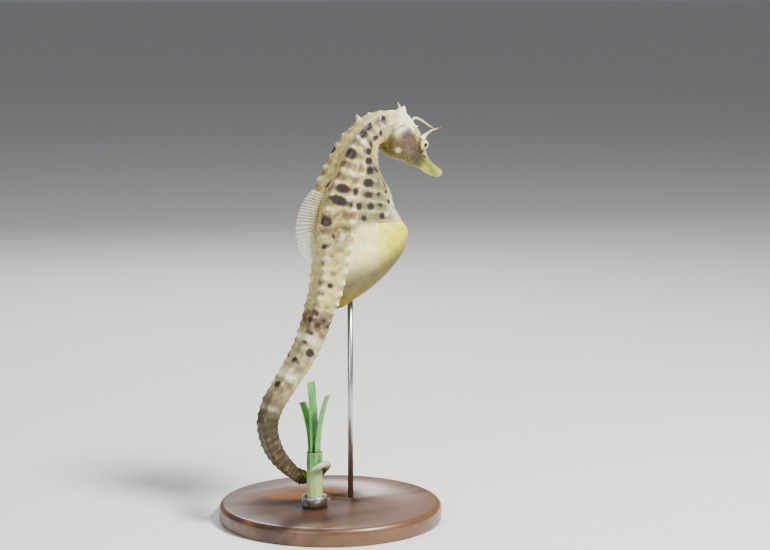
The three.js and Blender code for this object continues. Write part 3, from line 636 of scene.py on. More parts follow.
# The coats in the order that they go on: a part, then each colour and its share there.
coats = [
    # The trunk: darker between the hoops, greyer in front, white on the knobs, partly pale paint
    # and partly painted highlight.
    (on_trunk, [
        (TAN, 0.75 * valley * high_side + 0.1 * (1 - high_side) * (1 - front)),
        (GREY_GREEN, front * ease((R - 3) / 4) * (0.85 - 0.4 * hoop)),
        # White on the knobs: partly pale paint, partly painted highlight.
        (WHITE, hoop * trunk_ridges_pale_and_highlight),
        (WHITE, 0.12 * hoop * front),
        (WHITE, 0.7 * ease((from_back - 5.2) / 2) * ease((R - 7) / 3)),
        (CREAM, 0.6 * ease((from_back - 6.2) / 1.2)),
    ]),
    # The pouch: pale above, yellow on the lobe in front, painted shade in brown below, and a
    # painted golden bounce light along the bottom edge.
    (on_pouch, [
        (POUCH_WHITE, 1.0),
        (YOLK, ease((skin[..., 0] - 15) / 15)),
        (POUCH_PAINTED_SHADE, 0.85 * ease((below_pouch_line + 3) / 13)),
        (POUCH_PAINTED_BOUNCE_LIGHT, 0.8 * ease((below_pouch_line - 10) / 7)),
    ]),
    # The tail: white knobs and pearls, a pale length, the brown coil, the band and saddles.
    (1.0, [
        (WHITE, on_tail * (1 - ease((R - 30) / 4)) * hoop * tail_ridges),
        (WHITE, 0.9 * pearls),
        (PALE_TAIL, 0.75 * stretch(R, 22, 2, 34, 3)),
        (TAUPE, stretch(R, 28, 7, 51, 4) * (0.95 - 0.1 * hoop)),
        (BAND, 0.8 * bell(R - BAND_RING, 1.2)),
        (BAND, 0.5 * bell(R - 13.2, 1.4) * bell(from_back - 2, 0.6)),
        *[(WHITE, bright * bell(R - saddle, 0.42) * (1 - ease((from_back - 1.6) / 1.3)))
          for saddle, bright in SADDLES],
        (TAIL_TIP, 0.8 * ease((R - 53) / 3)),
        (YOLK, 0.7 * stretch(R, 45, 1.5, 50, 2) * ease((from_back - 4.5) / 1.5)),
    ]),
    # The head: olive below, partly its own colour and partly painted shade; white behind, partly a
    # pale patch and partly a painted highlight; the mauve cheek and gill, with painted shade in the
    # gill cover's groove; the green snout, the white knob, and a dark orbit round a cream lid.
    (head_part, [
        # Olive under the head: partly its own colour, partly painted shade.
        (DARK_OLIVE, ease((-up - 1) / 4) * ease((forward + 6) / 6)),
        (OLIVE, ease((-up - 7.5) / 4)),
        (CREAM, 0.6 * (1 - ease((-up - 1) / 3))),
        # White on the back of the head: partly a pale patch, partly a painted highlight.
        (WHITE, 0.9 * head_back_pale_and_highlight),
        (MAUVE, 0.9 * (1 - ease((cheek_gap - 0.6) / 0.6))),
        # Painted shade in the groove along the gill cover's edge.
        (DARK_OLIVE, 0.6 * gill_groove_shade),
        (GILL_BROWN, 0.45 * gill_rays),
        (SNOUT_GREEN, 0.9 * ease((forward - 4) / 8)),
        (YOLK, 0.8 * ease((forward - 8) / 5) * ease((-up - 4.0) / 2.5)),
        (CREAM, 0.7 * ease((forward - 17.5) / 3)),
        (WHITE, bell(knob_gap, 1.1)),
        (ORBIT_BROWN, 0.85 * on_orbit),
        (LID_CREAM, 0.95 * on_lid),
    ]),
    # Painted shade: the inside of the mouth is black.
    (in_mouth, [(MOUTH_SHADE_BLACK, 1.0)]),
]
ground = np.broadcast_to(CREAM, skin.shape)
for part, layers in coats:
    for colour, share in layers:
        ground = tint(ground, colour, part * share)
# The paint goes on in thin coats, so its darker tints come out deeper.
ground = ground ** PAINT_DEPTH
# How far the paint is mottled: most on the neck, the trunk's sides and the tail's brown band.
mottled = on_trunk * (0.75 - 0.45 * front) + on_tail * (0.5 - 0.25 * ease((R - 28) / 5))
mottled = mottled + 0.5 * bell(R - BAND_RING, 1.3)
mottled = np.clip(mottled + head_part * 0.15 * (1 - ease((forward - 2) / 6)), 0, 1)
finish = np.stack([mottled] * 3, -1)

# Spots: ring, girth from the back, half length, half width, degrees from the body's run.
DARK_SPOTS = [
    (1.7, 1.7, 2.1, 1.2, 73), (3.6, 1.3, 1.8, 1.7, 0), (4.4, 1.55, 2.0, 1.7, -32),
    (6.6, 1.3, 2.7, 2.2, 90), (2.2, 3.6, 1.7, 1.0, -75), (3.4, 3.45, 1.9, 1.2, -50),
    (4.6, 3.15, 2.0, 1.1, 63), (5.4, 3.3, 2.3, 1.4, -58), (6.2, 3.6, 2.4, 1.5, -83),
    (7.1, 3.85, 2.4, 1.7, -84), (6.6, 4.6, 1.6, 0.9, 26), (9.2, 0.1, 2.1, 0.8, -41),
    (9.3, 1.8, 3.1, 1.9, -78), (10.2, 1.8, 4.0, 2.0, 86), (8.3, 3.75, 3.1, 1.8, -85),
    (9.3, 3.9, 2.5, 1.3, -87), (9.0, 4.6, 1.2, 1.0, 90), (8.5, 5.8, 1.3, 0.8, 78),
    (7.7, 5.7, 1.5, 0.7, 34), (9.4, 6.3, 1.4, 1.0, 85), (10.3, 4.1, 1.9, 1.4, 83),
    (10.4, 3.4, 1.7, 1.5, -18), (10.4, 2.8, 1.5, 0.9, 0), (10.0, 4.8, 1.4, 0.9, 60),
    (11.5, 3.75, 1.6, 1.2, -83), (11.2, 4.8, 1.6, 1.3, 27), (11.8, 1.3, 2.4, 2.1, 74),
    (12.9, 1.75, 1.1, 0.8, 27), (9.3, 2.9, 1.5, 1.3, 0), (24.9, 2.1, 2.1, 1.7, -89),
    (22.7, 1.15, 1.5, 1.0, 78), (29.9, 0.3, 2.2, 1.4, 80), (17.4, 1.8, 1.5, 1.2, -87),
    (-4.94, 5.0, 1.2, 0.8, 13), (-6.6, 3.2, 1.3, 0.75, 32), (-4.84, 3.64, 1.2, 0.75, 42),
    (-5.6, 3.2, 1.0, 0.7, 35), (-0.77, 6.9, 0.9, 0.7, 0), (13.8, 0.9, 1.6, 1.0, -72),
    (20.5, 1.2, 1.3, 0.9, 40), (20.9, 2.2, 1.2, 0.9, 90), (21.3, 0.5, 1.6, 1.0, 80),
    (21.7, 1.7, 1.9, 1.2, -60), (21.5, 2.8, 1.3, 0.9, 80), (26.5, 0.7, 1.6, 1.1, 85),
    (24.0, 1.0, 0.9, 0.6, 80), (18.4, 1.2, 0.8, 0.5, 70),
]
FAINT_SPOTS = [
    (7.4, 2.8, 1.5, 1.3, 0), (8.5, 2.5, 1.5, 1.2, 0), (7.8, 4.6, 1.4, 1.1, 0),
    (11.3, 3.0, 1.6, 1.3, -45), (11.2, 2.5, 1.7, 1.0, 22), (12.3, 2.6, 1.6, 1.2, 81),
    (12.6, 1.3, 2.0, 1.5, 65), (13.8, 0.9, 2.0, 1.1, -72), (17.4, 0.5, 2.0, 1.2, 86),
    (18.4, 1.15, 1.0, 0.6, -75), (19.6, 1.1, 1.2, 0.8, 24), (20.3, 0.8, 2.0, 1.2, 60),
    (20.9, 1.9, 2.2, 1.4, 90), (21.4, 0.3, 2.2, 1.4, 90), (21.9, 1.6, 2.3, 1.5, 70),
    (22.3, 0.8, 1.6, 1.1, 0), (24.1, 0.9, 1.3, 0.9, 80), (26.6, 0.6, 2.2, 1.2, 87),
    (20.4, 2.6, 1.8, 1.1, 90), (22.6, 2.5, 2.0, 1.2, 80), (27.2, 2.0, 1.8, 1.1, 90),
    (25.6, 1.3, 1.5, 1.0, 60), (29.4, 2.0, 1.9, 1.2, 80), (19.5, 2.2, 1.2, 0.8, 90),
    (30.6, 1.4, 1.8, 1.3, 80), (31.8, 0.7, 2.0, 1.2, 90), (14.6, 1.6, 1.5, 1.0, 80),
    (16.2, 1.9, 1.4, 0.9, 90), (15.4, 0.6, 1.4, 0.9, 70), (-0.93, 5.2, 2.5, 1.7, 29),
    (-2.71, 3.73, 2.1, 1.3, 26), (-1.76, 3.0, 1.4, 1.0, 61), (2.4, 1.7, 1.9, 1.3, -24),
    (5.5, 1.3, 2.0, 1.5, -52), (7.6, 1.2, 1.9, 1.5, 80), (8.5, 1.2, 1.9, 1.5, 60),
]
WHITE_SPOTS = [
    (-1.86, 5.67, 1.0, 0.8, 0), (13.9, 2.9, 1.4, 1.0, 90), (10.9, 5.2, 1.3, 0.6, 80),
    (5.0, 2.3, 1.2, 0.6, 90), (8.0, 2.3, 1.4, 0.7, 85), (9.9, 2.6, 1.5, 0.7, 90),
    (13.0, 2.4, 1.3, 0.9, 0),
]
MARK_RANGE = 8.0
SPOT_GROWTH = 1.3
# On the left flank the ovals move by a share of a ring, grow by a share and turn by degrees.
SPOT_SHIFT = 0.12
SPOT_SWING = 12
FAR_OFFSET = 0.45
# A mark fades out past this depth below its own place, over the depth after it.
MARK_DEPTH = 1.2
MARK_FADE = 2.5
plain_skin = pad(plain_skin)
run_way = pad(unit(np.gradient(plain_skin[lips:], axis=0)))
round_way = np.roll(plain_skin, -1, 1) - np.roll(plain_skin, 1, 1)
round_way = unit(round_way - run_way * np.sum(round_way * run_way, -1, keepdims=True))
painter = np.random.default_rng(12)


def mark_field(spots):
    """Millimetres inside the nearest of a set of oval marks on both flanks, below 0 outside.

    With u and v the distances along an oval's half axes a and b, this is b (1 - |u/a, v/b|).
    A third term w cuts off a mark that would show through a thin tail. The left flank has
    the same ovals moved and sized a little at random.
    """
    field = np.full(skin.shape[:2], -MARK_RANGE / 2)
    for ring_at, girth_at, long, short, degrees in spots:
        for s in (1.0, -1.0) if girth_at > 0.6 else (-1.0,):
            shift = painter.normal(0, 1, 4) * (s > 0)
            moved = girth_at + FAR_OFFSET + SPOT_SHIFT * shift[0]
            place = moved if s > 0 else 16 - girth_at
            row = nearest(ring, ring_at + SPOT_SHIFT * shift[1]) + lips
            column = nearest(girth, place % 16)
            size = SPOT_GROWTH * (1 + SPOT_SHIFT * shift[2])
            angle = math.radians(s * degrees + SPOT_SWING * shift[3])
            run_there, round_there = run_way[row, column], round_way[row, column]
            gap = plain_skin - plain_skin[row, column]
            long_way = run_there * math.cos(angle) + round_there * math.sin(angle)
            short_way = round_there * math.cos(angle) - run_there * math.sin(angle)
            u = gap @ long_way / (long * size)
            v = gap @ short_way / (short * size)
            sunken = np.abs(gap @ np.cross(run_there, round_there))
            w = np.maximum(sunken - MARK_DEPTH, 0) / MARK_FADE
            field = np.maximum(field, (1 - np.sqrt(u * u + v * v + w * w)) * short * size)
    return np.clip(field / MARK_RANGE + 0.5, 0, 1)


marks = np.stack([mark_field(DARK_SPOTS), mark_field(FAINT_SPOTS), mark_field(WHITE_SPOTS)], -1)
body = grid_mesh("seahorse_skin", skin, marks={"ground": ground, "marks": marks, "finish": finish})


def add(tree, kind, inputs=None, **settings):
    """A node of a kind with its settings, and its inputs set to values or linked to sockets."""
    node = tree.nodes.new(kind)
    for key, value in settings.items():
        setattr(node, key, value)
    for socket, value in (inputs or {}).items():
        if isinstance(value, bpy.types.NodeSocket):
            tree.links.new(value, node.inputs[socket])
        else:
            node.inputs[socket].default_value = value
    return node


def new_finish(name, **values):
    """A material of one Principled shader with values for its sockets."""
    material = bpy.data.materials.new(name)
    material.use_nodes = True
    shader = material.node_tree.nodes["Principled BSDF"]
    for socket, value in values.items():
        shader.inputs[socket.replace("_", " ")].default_value = value
    return material, material.node_tree, shader


def marks_of(tree, name):
    """The colour that a mesh's points carry under a name, and its red, green and blue."""
    colour = add(tree, "ShaderNodeAttribute", attribute_name=name).outputs["Color"]
    return colour, add(tree, "ShaderNodeSeparateColor", {"Color": colour}).outputs


def noise(tree, places, scale, detail, **more):
    """Fractal noise at places in metres, of features about 1 / scale across."""
    values = {"Vector": places, "Scale": scale, "Detail": detail, **more}
    return add(tree, "ShaderNodeTexNoise", values).outputs["Fac"]


def remap(tree, value, low, high, to_low=0.0, to_high=1.0):
    """A value eased from one range to another."""
    return add(tree, "ShaderNodeMapRange", {
        "Value": value, "From Min": low, "From Max": high, "To Min": to_low, "To Max": to_high,
    }, interpolation_type="SMOOTHSTEP").outputs["Result"]


def product(tree, first, second):
    """Two values multiplied."""
    return add(tree, "ShaderNodeMath", {0: first, 1: second}, operation="MULTIPLY").outputs[0]


def mixed(tree, share, first, second, blend="MIX"):
    """Two colours mixed by a share; a colour may be a socket or linear numbers."""
    first, second = (
        colour if isinstance(colour, bpy.types.NodeSocket) else (*colour, 1.0)
        for colour in (first, second)
    )
    return add(tree, "ShaderNodeMix", {0: share, 6: first, 7: second},
               data_type="RGBA", blend_type=blend).outputs[2]


def rough_up(tree, shader, height, strength, distance):
    """Fine bumps on a shader from a height between 0 and 1."""
    bump = add(tree, "ShaderNodeBump", {
        "Strength": strength, "Distance": distance, "Height": height,
    })
    tree.links.new(bump.outputs["Normal"], shader.inputs["Normal"])


def spot_share(tree, part, edge, soft):
    """How far inside a mark a point is, with an edge made ragged by noise, from 0 to 1."""
    wobble = remap(tree, edge, 0.2, 0.8, -0.3 / MARK_RANGE, 0.3 / MARK_RANGE)
    inside = add(tree, "ShaderNodeMath", {0: part, 1: wobble}, operation="ADD").outputs[0]
    return remap(tree, inside, 0.5 - soft / MARK_RANGE, 0.5 + soft / MARK_RANGE)


def dress(piece, material, slot, *nodes):
    """A piece with its material, carried by the root, in place of CAD nodes."""
    piece.data.materials.append(material)
    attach(piece, "root")
    if nodes:
        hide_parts(*nodes)


SPOT_BROWN = linear("#2a201d")
SPOT_WARM = linear("#463832")
FAINT_BROWN = linear("#5d4a3c")
SPOT_WHITE = linear("#f3ead9")
BLOTCH_BROWN = linear("#8d7d4c")
BLOTCH_PALE = linear("#f2e9c8")

paint, tree, shader = new_finish(
    "painted_resin_skin", Roughness=0.5, Specular_IOR_Level=0.28, Coat_Weight=0.06,
    Coat_Roughness=0.3, Subsurface_Weight=0.08, Subsurface_Scale=0.5,
    Subsurface_Radius=(0.003, 0.002, 0.001),
)
places = add(tree, "ShaderNodeTexCoord").outputs["Object"]
ground_colour, _ = marks_of(tree, "ground")
_, mark_parts = marks_of(tree, "marks")
_, finish_parts = marks_of(tree, "finish")
ragged = noise(tree, places, 800.0, 1.0)
cloudy = noise(tree, places, 260.0, 4.0)
grain = noise(tree, places, 1900.0, 2.0)
blotch = noise(tree, places, 420.0, 3.0)

shade = remap(tree, cloudy, 0.3, 0.7, 0.82, 1.08)
toned = add(tree, "ShaderNodeVectorMath", {0: ground_colour, "Scale": shade}, operation="SCALE")
toned = toned.outputs[0]
brown_share = product(tree, remap(tree, blotch, 0.46, 0.66, 0.0, 0.6), finish_parts["Red"])
pale_share = product(tree, remap(tree, blotch, 0.45, 0.3, 0.0, 0.45), finish_parts["Red"])
toned = mixed(tree, brown_share, toned, BLOTCH_BROWN, "MULTIPLY")
toned = mixed(tree, pale_share, toned, BLOTCH_PALE)
faint = product(tree, spot_share(tree, mark_parts["Green"], ragged, 0.9), 0.75)
colour = mixed(tree, faint, toned, FAINT_BROWN)
white = product(tree, spot_share(tree, mark_parts["Blue"], ragged, 1.1), 0.8)
colour = mixed(tree, white, colour, SPOT_WHITE)
core = remap(tree, mark_parts["Red"], 0.5, 0.5 + 1.1 / MARK_RANGE)
dark = spot_share(tree, mark_parts["Red"], ragged, 0.5)
colour = mixed(tree, dark, colour, mixed(tree, core, SPOT_WARM, SPOT_BROWN))
tree.links.new(colour, shader.inputs["Base Color"])
rough_up(tree, shader, grain, 0.25, 0.0002)
dress(
    body, paint, "painted_skin", "head", "snout", "neck", "trunk_upper", "trunk_lower",
    "brood_pouch", *[f"tail_{k}" for k in range(1, 8)],
)


# ---- The eyes ----
# Glass eyes set in the turrets: a ball with a clear bulge over a small black pupil and a
# cream iris, pressed into the cast from in front.
EYE_ROWS = 60
EYE_COLUMNS = 64

IRIS_BANDS = [
    (0.0, "#030202"), (0.135, "#050403"), (0.15, "#a8822e"), (0.17, "#dcc98a"),
    (0.24, "#d9cc98"), (0.275, "#8f7d4a"), (0.3, "#3a2f1e"),
]
# The clear bulge over the pupil, and how far the rest of the ball lies inside the socket.
BULGE = 0.3
BULGE_WIDTH = 0.42
SOCKET_GAP = 0.08

glass, tree, shader = new_finish(
    "blown_glass_eye", Roughness=0.08, Coat_Weight=1.0, Coat_Roughness=0.03,
)
_, polar = marks_of(tree, "marks")
iris = add(tree, "ShaderNodeValToRGB", {"Fac": polar["Red"]})
while len(iris.color_ramp.elements) < len(IRIS_BANDS):
    iris.color_ramp.elements.new(0.5)
for element, (place, colour) in zip(iris.color_ramp.elements, IRIS_BANDS):
    element.position = place
    element.color = (*linear(colour), 1.0)
tree.links.new(iris.outputs["Color"], shader.inputs["Base Color"])

polar_angle = np.linspace(0.02, math.pi - 0.02, EYE_ROWS)[:, None]
round_angle = np.linspace(0, 2 * math.pi, EYE_COLUMNS, endpoint=False)[None, :]
bulge = EYE_RADIUS - SOCKET_GAP + BULGE * bell(polar_angle, BULGE_WIDTH)
on_ball = np.stack([
    np.cos(polar_angle) + 0 * round_angle,
    np.sin(polar_angle) * np.cos(round_angle),
    np.sin(polar_angle) * np.sin(round_angle),
], -1)
seen = np.stack([polar_angle / math.pi + 0 * round_angle] * 3, -1)
for word in ("right", "left"):
    axis = eye_axis[word]
    level = unit(np.cross(HEAD_TURN[:, 2], axis))
    directions = on_ball @ np.stack([axis, level, np.cross(axis, level)])
    ball = eye_centre[word] + directions * bulge[..., None]
    eye = grid_mesh(f"eye_{word}", ball, marks={"marks": seen})
    dress(eye, glass, "eye", f"eye_{word}")


# ---- The coronet and the fleshy strands ----
# Cast with the head: a low crown of five blunt points on the nape with one thread behind
# it, and a soft strand that tapers up from the brow over each eye.

# The crown: forward, up, radius, depth of its five hollows.
CROWN = [
    (-18.6, 2.4, 3.2, 0.0),
    (-18.8, 4.3, 2.2, 0.15),
    (-19.4, 5.6, 1.2, 0.35),
    (-19.9, 6.6, 0.4, 0.3),
]
# Strands in the head's directions: forward, left, up, radius.
CROWN_STRAND = [
    (-20.4, 0.4, 3.0, 0.8),
    (-22.0, 0.5, 4.6, 0.45),
    (-23.6, 0.6, 5.2, 0.28),
    (-24.4, 0.6, 5.6, 0.25),
]
CIRRUS_RIGHT = [
    (-2.2, -4.2, 1.6, 1.5),
    (-2.6, -5.2, 4.6, 0.8),
    (-2.6, -7.0, 8.0, 0.45),
    (-1.5, -10.0, 11.7, 0.28),
]
CIRRUS_LEFT = [
    (-3.0, 4.2, 1.6, 1.5),
    (-6.6, 5.0, 4.8, 0.8),
    (-7.6, 5.4, 8.6, 0.6),
    (-3.0, 6.0, 11.1, 0.5),
    (3.9, 6.5, 12.9, 0.38),
    (7.7, 6.5, 14.2, 0.28),
]


def tube(path, radius, sides, aside):
    """Rings round a path: place + radius (a cos u + b sin u), a and b square to the path."""
    way = unit(np.gradient(path, axis=0))
    a = unit(np.cross(way, aside))
    b = np.cross(a, way)
    u = np.linspace(0, 2 * np.pi, sides, endpoint=False)[None, :, None]
    return path[:, None] + radius[:, None, None] * (a[:, None] * np.cos(u) + b[:, None] * np.sin(u))


STRAND_CREAM = linear("#d8c684")
STRAND_TIP = linear("#5c4650")
CROWN_CREAM = linear("#e5dcae")
flesh, tree, shader = new_finish(
    "painted_soft_silicone", Roughness=0.5, Subsurface_Weight=0.3, Subsurface_Scale=0.4,
    Subsurface_Radius=(0.003, 0.002, 0.001),
)
tree.links.new(marks_of(tree, "ground")[0], shader.inputs["Base Color"])


def through(table, steps):
    """Places spread evenly along a smooth line through a table's rows, and their values."""
    keys = np.linspace(0, len(table) - 1, steps)
    return keys, along([(k, *row) for k, row in enumerate(table)], keys)


def strand(name, table, nodes=(), steps=60, sides=16):
    """A tapering strand through a table of places in the head, rounded at its tip."""
    keys, line = through(table, steps)
    taper = np.sqrt(np.clip((keys[-1] - keys) / 0.12, 0.02, 1.0))
    path = in_head(line[:, 0], line[:, 1], line[:, 2])
    points = tube(path, line[:, 3] * taper, sides, HEAD_TURN[:, 0] + 0.3 * HEAD_TURN[:, 1])
    share = np.broadcast_to((keys / keys[-1])[:, None], points.shape[:2])
    toned = tint(np.broadcast_to(WHITE, points.shape), STRAND_CREAM, ease(share / 0.5))
    toned = tint(toned, STRAND_TIP, ease((share - 0.7) / 0.25) * 0.95)
    dress(grid_mesh(name, points, marks={"ground": toned}), flesh, "cirri", *nodes)


strand("cirrus_right", CIRRUS_RIGHT, ["cirrus_right"])
strand("cirrus_left", CIRRUS_LEFT, ["cirrus_left"])
_, crown_rows = through(CROWN, 36)
crown_along, crown_up, crown_out, hollow = crown_rows.T[..., None]
u = np.linspace(0, 2 * np.pi, 80, endpoint=False)[None, :]
five_points = np.abs(np.cos(2.5 * u))
crown_out = crown_out * (1 + hollow * (five_points ** 0.7 - 0.6))
crown_up = crown_up + 0.5 * hollow * (five_points - 0.5)
crown = in_head(crown_along + crown_out * np.cos(u), crown_out * np.sin(u), crown_up)
crown_paint = np.broadcast_to(CROWN_CREAM, crown.shape)
coronet = grid_mesh("crown_of_points", crown, marks={"ground": crown_paint})
dress(coronet, flesh, "painted_skin", "coronet")
strand("coronet_thread", CROWN_STRAND, steps=30, sides=12)


# ---- The fins ----
# Thin clear resin sheets with a fine rod for each ray, glued in slots in the cast: the tall
# dorsal fin, the two small fans behind the cheeks and the tiny anal fin.
DORSAL_FROM = 9.9
DORSAL_TO = 14.9
DORSAL_HEIGHT = 11.6
DORSAL_SWEEP = 4.5
DORSAL_RAYS = 27
PECTORAL_RING = 0.1
PECTORAL_LENGTH = 7.5
PECTORAL_SPREAD = math.radians(75.0)
PECTORAL_OUT = math.radians(24.0)
PECTORAL_RAYS = 16
ANAL_RING = 11.7
ANAL_LENGTH = 3.2
ANAL_TILT = math.radians(50.0)
ANAL_SPREAD = 1.0
ANAL_RAYS = 4
COLUMNS_PER_RAY = 8
SIDEWAYS = np.array([0.0, 1.0, 0.0])

# The marks of a fin are how solid it is, and its share of the golden flesh at the root.
film, tree, shader = new_finish("clear_resin_fin", Roughness=0.35)
_, rayed = marks_of(tree, "marks")
fin_colour = mixed(tree, rayed["Green"], linear("#dcd8bf"), linear("#a3935a"))
tree.links.new(fin_colour, shader.inputs["Base Color"])
tree.links.new(rayed["Red"], shader.inputs["Alpha"])


def fin(name, root, tip, count, normal, thick=0.8):
    """A sheet of straight rays from a root line to a tip line, thicker along each ray.

    Half the thickness is a thin film plus a Gaussian over each ray, and both taper to the
    edge. The two sides are one loop of columns, and the edge rows are pinched together.
    """
    across = np.linspace(0, 1, count * COLUMNS_PER_RAY + 1)
    keys = np.linspace(0, 1, len(root))
    start = np.stack([np.interp(across, keys, root[:, k]) for k in range(3)], -1)
    stop = np.stack([np.interp(across, keys, tip[:, k]) for k in range(3)], -1)
    ray_phase = np.abs(np.mod(across * count, 1) - 0.5)
    ray = bell(ray_phase, 0.16)
    out = np.linspace(0, 1, 28)[:, None]
    reach = out * (1 - 0.05 * (1 - ray)[None] * out)
    middle_sheet = start + (stop - start) * reach[..., None]
    swell = (0.06 + 0.2 * ray[None] * (1 - 0.6 * out)) * thick
    swell = swell * np.sqrt(np.clip((1 - out) / 0.08, 0, 1)) * np.clip(out / 0.02, 0, 1)
    edge = np.minimum(across, 1 - across)[None]
    swell = swell * np.clip(edge * 60, 0.0, 1.0)
    face = middle_sheet + normal * swell[..., None]
    rear = middle_sheet - normal * swell[..., None]
    points = np.concatenate([face, rear[:, ::-1]], 1)
    clear = 0.08 + 0.55 * ray[None] * (1 - 0.5 * out) + 0.55 * bell(out, 0.2)
    solid = np.concatenate([clear, clear[:, ::-1]], 1)
    fleshy = bell(out, 0.24) + 0 * solid
    marks = {"marks": np.stack([solid, fleshy, solid], -1)}
    dress(grid_mesh(name, points, (False, False), marks=marks), film, "fin_membrane", name)


def fan(middle, across, spread, steps):
    """Directions that turn evenly from one side of a middle way to the other."""
    angle = np.linspace(-spread / 2, spread / 2, steps)[:, None]
    return middle * np.cos(angle) + across * np.sin(angle)


t = np.linspace(0, 1, 60)
fin_rows = along(BODY, DORSAL_FROM + (DORSAL_TO - DORSAL_FROM) * t)
fin_root = np.stack([fin_rows[:, 0], 0 * t, fin_rows[:, 1]], -1)
way = unit(np.gradient(fin_root, axis=0))
fin_out = np.stack([way[:, 2], 0 * t, -way[:, 0]], -1)
height = DORSAL_HEIGHT * np.sin(np.pi * (0.1 + 0.84 * t)) ** 0.55
fin_tip = fin_root + fin_out * height[:, None] - UP * (DORSAL_SWEEP * t ** 2)[:, None]
fin("dorsal_fin", fin_root - 1.6 * fin_out, fin_tip, DORSAL_RAYS, SIDEWAYS, 1.0)

at = nearest(ring, PECTORAL_RING)
backwards = np.cross(side[at], down[at])
backwards = -backwards if backwards @ HEAD_TURN[:, 0] > 0 else backwards
for word, s in (("right", -1.0), ("left", 1.0)):
    outwards = s * side[at]
    hub = back[at] + down[at] * 0.56 * depth[at] + outwards * 7.3
    lying = backwards * math.cos(PECTORAL_OUT) + outwards * math.sin(PECTORAL_OUT)
    ways = fan(lying, down[at], PECTORAL_SPREAD, 40)
    fin(f"pectoral_fin_{word}", hub + ways * 0.8 - lying * 0.6, hub + ways * PECTORAL_LENGTH,
        PECTORAL_RAYS, unit(np.cross(lying, down[at])))

at = nearest(ring, ANAL_RING)
hub = belly[at] - 1.4 * down[at]
lying = np.array([math.cos(ANAL_TILT), 0, -math.sin(ANAL_TILT)])
ways = fan(lying, np.array([-lying[2], 0, lying[0]]), ANAL_SPREAD, 16)
fin("anal_fin", hub + ways * 0.2, hub + ways * ANAL_LENGTH, ANAL_RAYS, SIDEWAYS)


# ---- The eelgrass ----
# A shoot cut short: three strap leaves of cast and dyed vinyl that stand in a pale sheath,
# which the tail grips.
SHEATH_TOP = 37.0
SHEATH_WIDE = 4.2
SHEATH_THIN = 3.9
SHEATH_TURN = math.degrees(0.5)
BASE_HEIGHT = 9.0
JOINT_GAP = 0.3
# Leaves: degrees turned, place across, lean, cut height, share of the full width.
LEAVES = [(20, 0.0, 2.0, 72.0, 1.0), (12, 1.9, 6.5, 61.0, 0.8), (30, -1.9, -5.5, 66.0, 0.8)]
LEAF_HALF_WIDTH = 3.3
LEAF_HALF_THICKNESS = 0.5

# The marks of a leaf are its place across, its height and whether it is the sheath.
VEINS = 50.0
leaf_dye, tree, shader = new_finish("dyed_vinyl_leaf", Roughness=0.35)
_, leaf_parts = marks_of(tree, "marks")
vein_angle = product(tree, leaf_parts["Red"], VEINS)
wave = add(tree, "ShaderNodeMath", {0: vein_angle}, operation="COSINE").outputs[0]
blotch = noise(tree, add(tree, "ShaderNodeTexCoord").outputs["Object"], 180.0, 4.0)
green = linear("#2f7a3a")
for share, colour in (
    (remap(tree, blotch, 0.3, 0.7), "#5fa548"),
    (remap(tree, wave, 0.2, 1.0, 0.0, 0.45), "#8cc46a"),
    (remap(tree, leaf_parts["Blue"], 0.0, 1.0, 0.0, 0.9), "#a9b877"),
    (remap(tree, leaf_parts["Green"], 0.97, 1.0, 0.0, 0.8), "#7a6a3a"),
):
    green = mixed(tree, share, green, linear(colour))
tree.links.new(green, shader.inputs["Base Color"])
rough_up(tree, shader, wave, 0.3, 0.0002)


def leaf_piece(name, points, node, across, sheath):
    """A closed piece of the eelgrass with its marks."""
    climb = np.linspace(0, 1, points.shape[0])[:, None]
    kinds = np.broadcast_arrays(across, climb, sheath * (1 - ease((climb - 0.3) / 0.7)))
    piece = grid_mesh(name, points, marks={"marks": np.stack(kinds, -1)})
    dress(piece, leaf_dye, "eelgrass", node)


def sides_at(degrees):
    """The level ways along and across something turned by degrees."""
    turned = math.radians(degrees)
    wide = np.array([math.cos(turned), math.sin(turned), 0.0])
    return wide, np.array([-wide[1], wide[0], 0.0])


u = np.linspace(0, 2 * np.pi, 64, endpoint=False)[None, :, None]
rise = np.linspace(BASE_HEIGHT + JOINT_GAP, SHEATH_TOP, 60)[:, None, None]
snug = 1 - 0.012 * np.cos(9 * u)
wide, thin = sides_at(SHEATH_TURN)
sheath_sides = wide * SHEATH_WIDE * np.cos(u) + thin * SHEATH_THIN * np.sin(u)
sheath = PERCH + sheath_sides * snug + UP * rise
leaf_piece("grass_sheath", sheath, "eelgrass_sheath", u[..., 0] / (2 * np.pi), 1.0)

rise = np.linspace(0, 1, 70)[:, None, None]
leaf_foot = SHEATH_TOP + JOINT_GAP
for k, (degrees, place, lean, cut, share) in enumerate(LEAVES):
    wide, thin = sides_at(degrees)
    half_width = LEAF_HALF_WIDTH * share * (1 - 0.12 * rise)
    flat_out = np.sign(np.cos(u)) * np.abs(np.cos(u)) ** 0.55 * half_width
    flat_up = np.sign(np.sin(u)) * np.abs(np.sin(u)) ** 0.8 * LEAF_HALF_THICKNESS
    away = place + lean * rise ** 2
    leaf = PERCH + wide * flat_out + thin * (flat_up + away)
    leaf = leaf + UP * (leaf_foot + (cut - leaf_foot) * rise)
    across = 0.5 + 0.5 * np.cos(u[..., 0]) * share
    leaf_piece(f"grass_leaf_{k + 1}", leaf, f"eelgrass_blade_{k + 1}", across, 0.0)


# ---- The stand ----
# A turned walnut disc with a waxed finish, a steel rod up into the pouch, and a steel
# socket that holds the shoot. The rod and socket are pressed into holes in the wood.
BASE_RADIUS = 56.0
ROD_RADIUS = 1.4
ROD_X = 12.0
ROD_BOTTOM = 4.0
ROD_TOP = 119.0
SOCKET_TOP = 15.0
SOCKET_INNER = 4.5
SOCKET_WALL = 1.8
SOCKET_ROUND = 0.6


